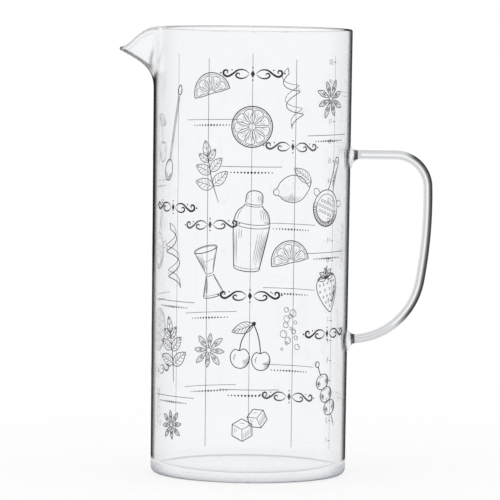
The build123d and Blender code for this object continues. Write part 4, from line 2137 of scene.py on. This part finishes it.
@dataclass
class Studio:
    """The pale floor, the white surroundings, the soft lamp and the camera."""

    camera_place: Point3 = (-0.31, -2703.9, 322.05)
    tilt_down: float = 4.162
    roll: float = 0.756
    lens: float = 348.2
    sensor: float = 36.0
    camera_range: float = 50000.0
    room_level: float = 0.96
    lamp_place: Point3 = (-900.0, -800.0, 1500.0)
    lamp_aim: Point3 = (0.0, 0.0, 120.0)
    lamp_size: float = 900.0
    lamp_watts: float = 1.6
    floor_radius: float = 1300.0
    floor_sides: int = 96
    floor_drop: float = 0.2
    floor_fade: Span = (260.0, 620.0)
    floor_glow: float = 0.72
    floor_grain: Ramp = ((0.3, 0.98), (0.7, 1.0))

    def build_camera(self) -> None:
        """Places the camera at the photograph's viewing angle."""
        data = bpy.data.cameras.new("camera")
        data.lens = self.lens
        data.sensor_width = self.sensor
        data.clip_end = self.camera_range * MM
        camera = bpy.data.objects.new("camera", data)
        bpy.context.scene.collection.objects.link(camera)
        tilt = math.radians(self.tilt_down)
        right = Vector((1.0, 0.0, 0.0))
        up = Vector((0.0, math.sin(tilt), math.cos(tilt)))
        c, s = polar(1.0, self.roll)
        rolled_right = right * c + up * s
        rolled_up = up * c - right * s
        back = rolled_right.cross(rolled_up)
        axes = Matrix((rolled_right, rolled_up, back)).transposed().to_4x4()
        camera.matrix_world = Matrix.Translation(Vector(self.camera_place) * MM) @ axes
        bpy.context.scene.camera = camera

    def build_world(self) -> None:
        """Sets white surroundings, at a plain level for lit surfaces."""
        world = bpy.data.worlds.new("white_room")
        bpy.context.scene.world = world
        world.use_nodes = True
        bench = NodeBench(world.node_tree)
        path = bench.node("ShaderNodeLightPath").outputs
        seen = bench.maths("MAXIMUM", path["Is Camera Ray"], path["Is Glossy Ray"])
        seen = bench.maths("MAXIMUM", seen, path["Is Transmission Ray"])
        ground = bench.node("ShaderNodeBackground", Color=(1.0, 1.0, 1.0, 1.0))
        strength = bench.maths("MULTIPLY_ADD", seen, 1.0 - self.room_level, self.room_level)
        bench.feed(strength, ground.inputs["Strength"])
        bench.surface(ground, "ShaderNodeOutputWorld")

    def build_lamp(self) -> None:
        """Hangs a large soft lamp above the front left."""
        data = bpy.data.lights.new("soft_lamp", "AREA")
        data.shape = "DISK"
        data.size = self.lamp_size * MM
        data.energy = self.lamp_watts
        lamp = bpy.data.objects.new("soft_lamp", data)
        lamp.location = Vector(self.lamp_place) * MM
        lamp.visible_glossy = False
        lamp.visible_transmission = False
        aim = Vector(self.lamp_aim) * MM - lamp.location
        lamp.rotation_euler = aim.to_track_quat("-Z", "Y").to_euler()
        bpy.context.scene.collection.objects.link(lamp)

    def floor_material(self) -> Material:
        """Builds the floor's finish: pale paint that glows a little and fades out with distance.

        Returns:
            The material.
        """
        made, bench = new_material("pale_floor")
        place = bench.node("ShaderNodeTexCoord").outputs["Object"]
        grain = bench.node("ShaderNodeTexNoise", Scale=40.0, Detail=2.0)
        bench.feed(place, grain.inputs["Vector"])
        paint = bench.node("ShaderNodeBsdfPrincipled", Roughness=0.8, Specular_IOR_Level=0.0)
        bench.feed(bench.ramp(grain.outputs["Fac"], self.floor_grain), paint.inputs["Base Color"])
        path = bench.node("ShaderNodeLightPath").outputs
        seen = bench.maths("MAXIMUM", path["Is Glossy Ray"], path["Is Transmission Ray"])
        seen = bench.maths("MULTIPLY_ADD", path["Is Camera Ray"], self.floor_glow, seen)
        lit = bench.shader_mix(seen, paint, bench.node("ShaderNodeEmission", Strength=1.0))
        distance = bench.node("ShaderNodeVectorMath")
        distance.operation = "LENGTH"
        bench.feed(place, distance.inputs[0])
        near, far = (edge * MM for edge in self.floor_fade)
        share = bench.maths("DIVIDE", bench.maths("SUBTRACT", distance.outputs["Value"], near), far - near)
        fade = bench.ramp(share, ((0.0, 0.0), (1.0, 1.0)))
        bench.surface(bench.shader_mix(fade, lit, bench.node("ShaderNodeBsdfTransparent")))
        return made

    def build_floor(self) -> None:
        """Lays a pale floor that fades into the white surroundings."""
        mesh = bpy.data.meshes.new("floor")
        shaper = bmesh.new()
        radius = self.floor_radius * MM
        bmesh.ops.create_circle(shaper, cap_ends=True, segments=self.floor_sides, radius=radius)
        shaper.to_mesh(mesh)
        shaper.free()
        mesh.materials.append(self.floor_material())
        floor = bpy.data.objects.new("floor", mesh)
        floor.location.z = -self.floor_drop * MM
        bpy.context.scene.collection.objects.link(floor)

    def build(self) -> None:
        """Builds the whole studio."""
        bpy.context.scene.view_settings.view_transform = "Standard"
        self.build_camera()
        self.build_world()
        self.build_lamp()
        self.build_floor()


def main() -> None:
    """Builds the studio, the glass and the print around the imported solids."""
    logging.basicConfig(level=logging.INFO, format="%(name)s: %(message)s")
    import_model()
    melt = melt_group()
    # Glass with painted edge shade for the dark edges of bent light; the base's painted shade is blue-grey
    outside = GlassFinish("body_glass", WALL_TONES).material(melt)
    inside = GlassFinish("body_glass_inside", INSIDE_TONES).material(melt)
    crown = GlassFinish("rim_glass", RIM_TONES).material(melt)
    base = GlassFinish("base_glass", BASE_TONES, edge_colour=(0.13, 0.15, 0.22)).material(melt)
    rod = GlassFinish("rod_glass", ROD_TONES, ripple=0.01).material(melt)
    seal = GlassFinish("seal_glass", SEAL_TONES, ripple=0.05).material(melt)
    joint = FusedJoint().material()
    ink = EnamelFinish().material()
    Studio().build()
    vessel = Vessel()
    handle = RodHandle(vessel)
    vessel.seal_heights = (handle.foot, handle.top - handle.top_droop)
    vessel.seal_radius = 0.5 * handle.seal_diameter
    pieces = [vessel.build((outside, inside, joint, crown, base)), handle.build_rod((rod, joint))]
    pieces += [handle.build_seal(place, (seal, joint)) for place in Seal]
    pieces += WallPrint(vessel, ink).build()
    for piece in pieces:
        LOG.info("%s: %d faces", piece.name, len(piece.data.polygons))


if __name__ == "__main__":
    main()
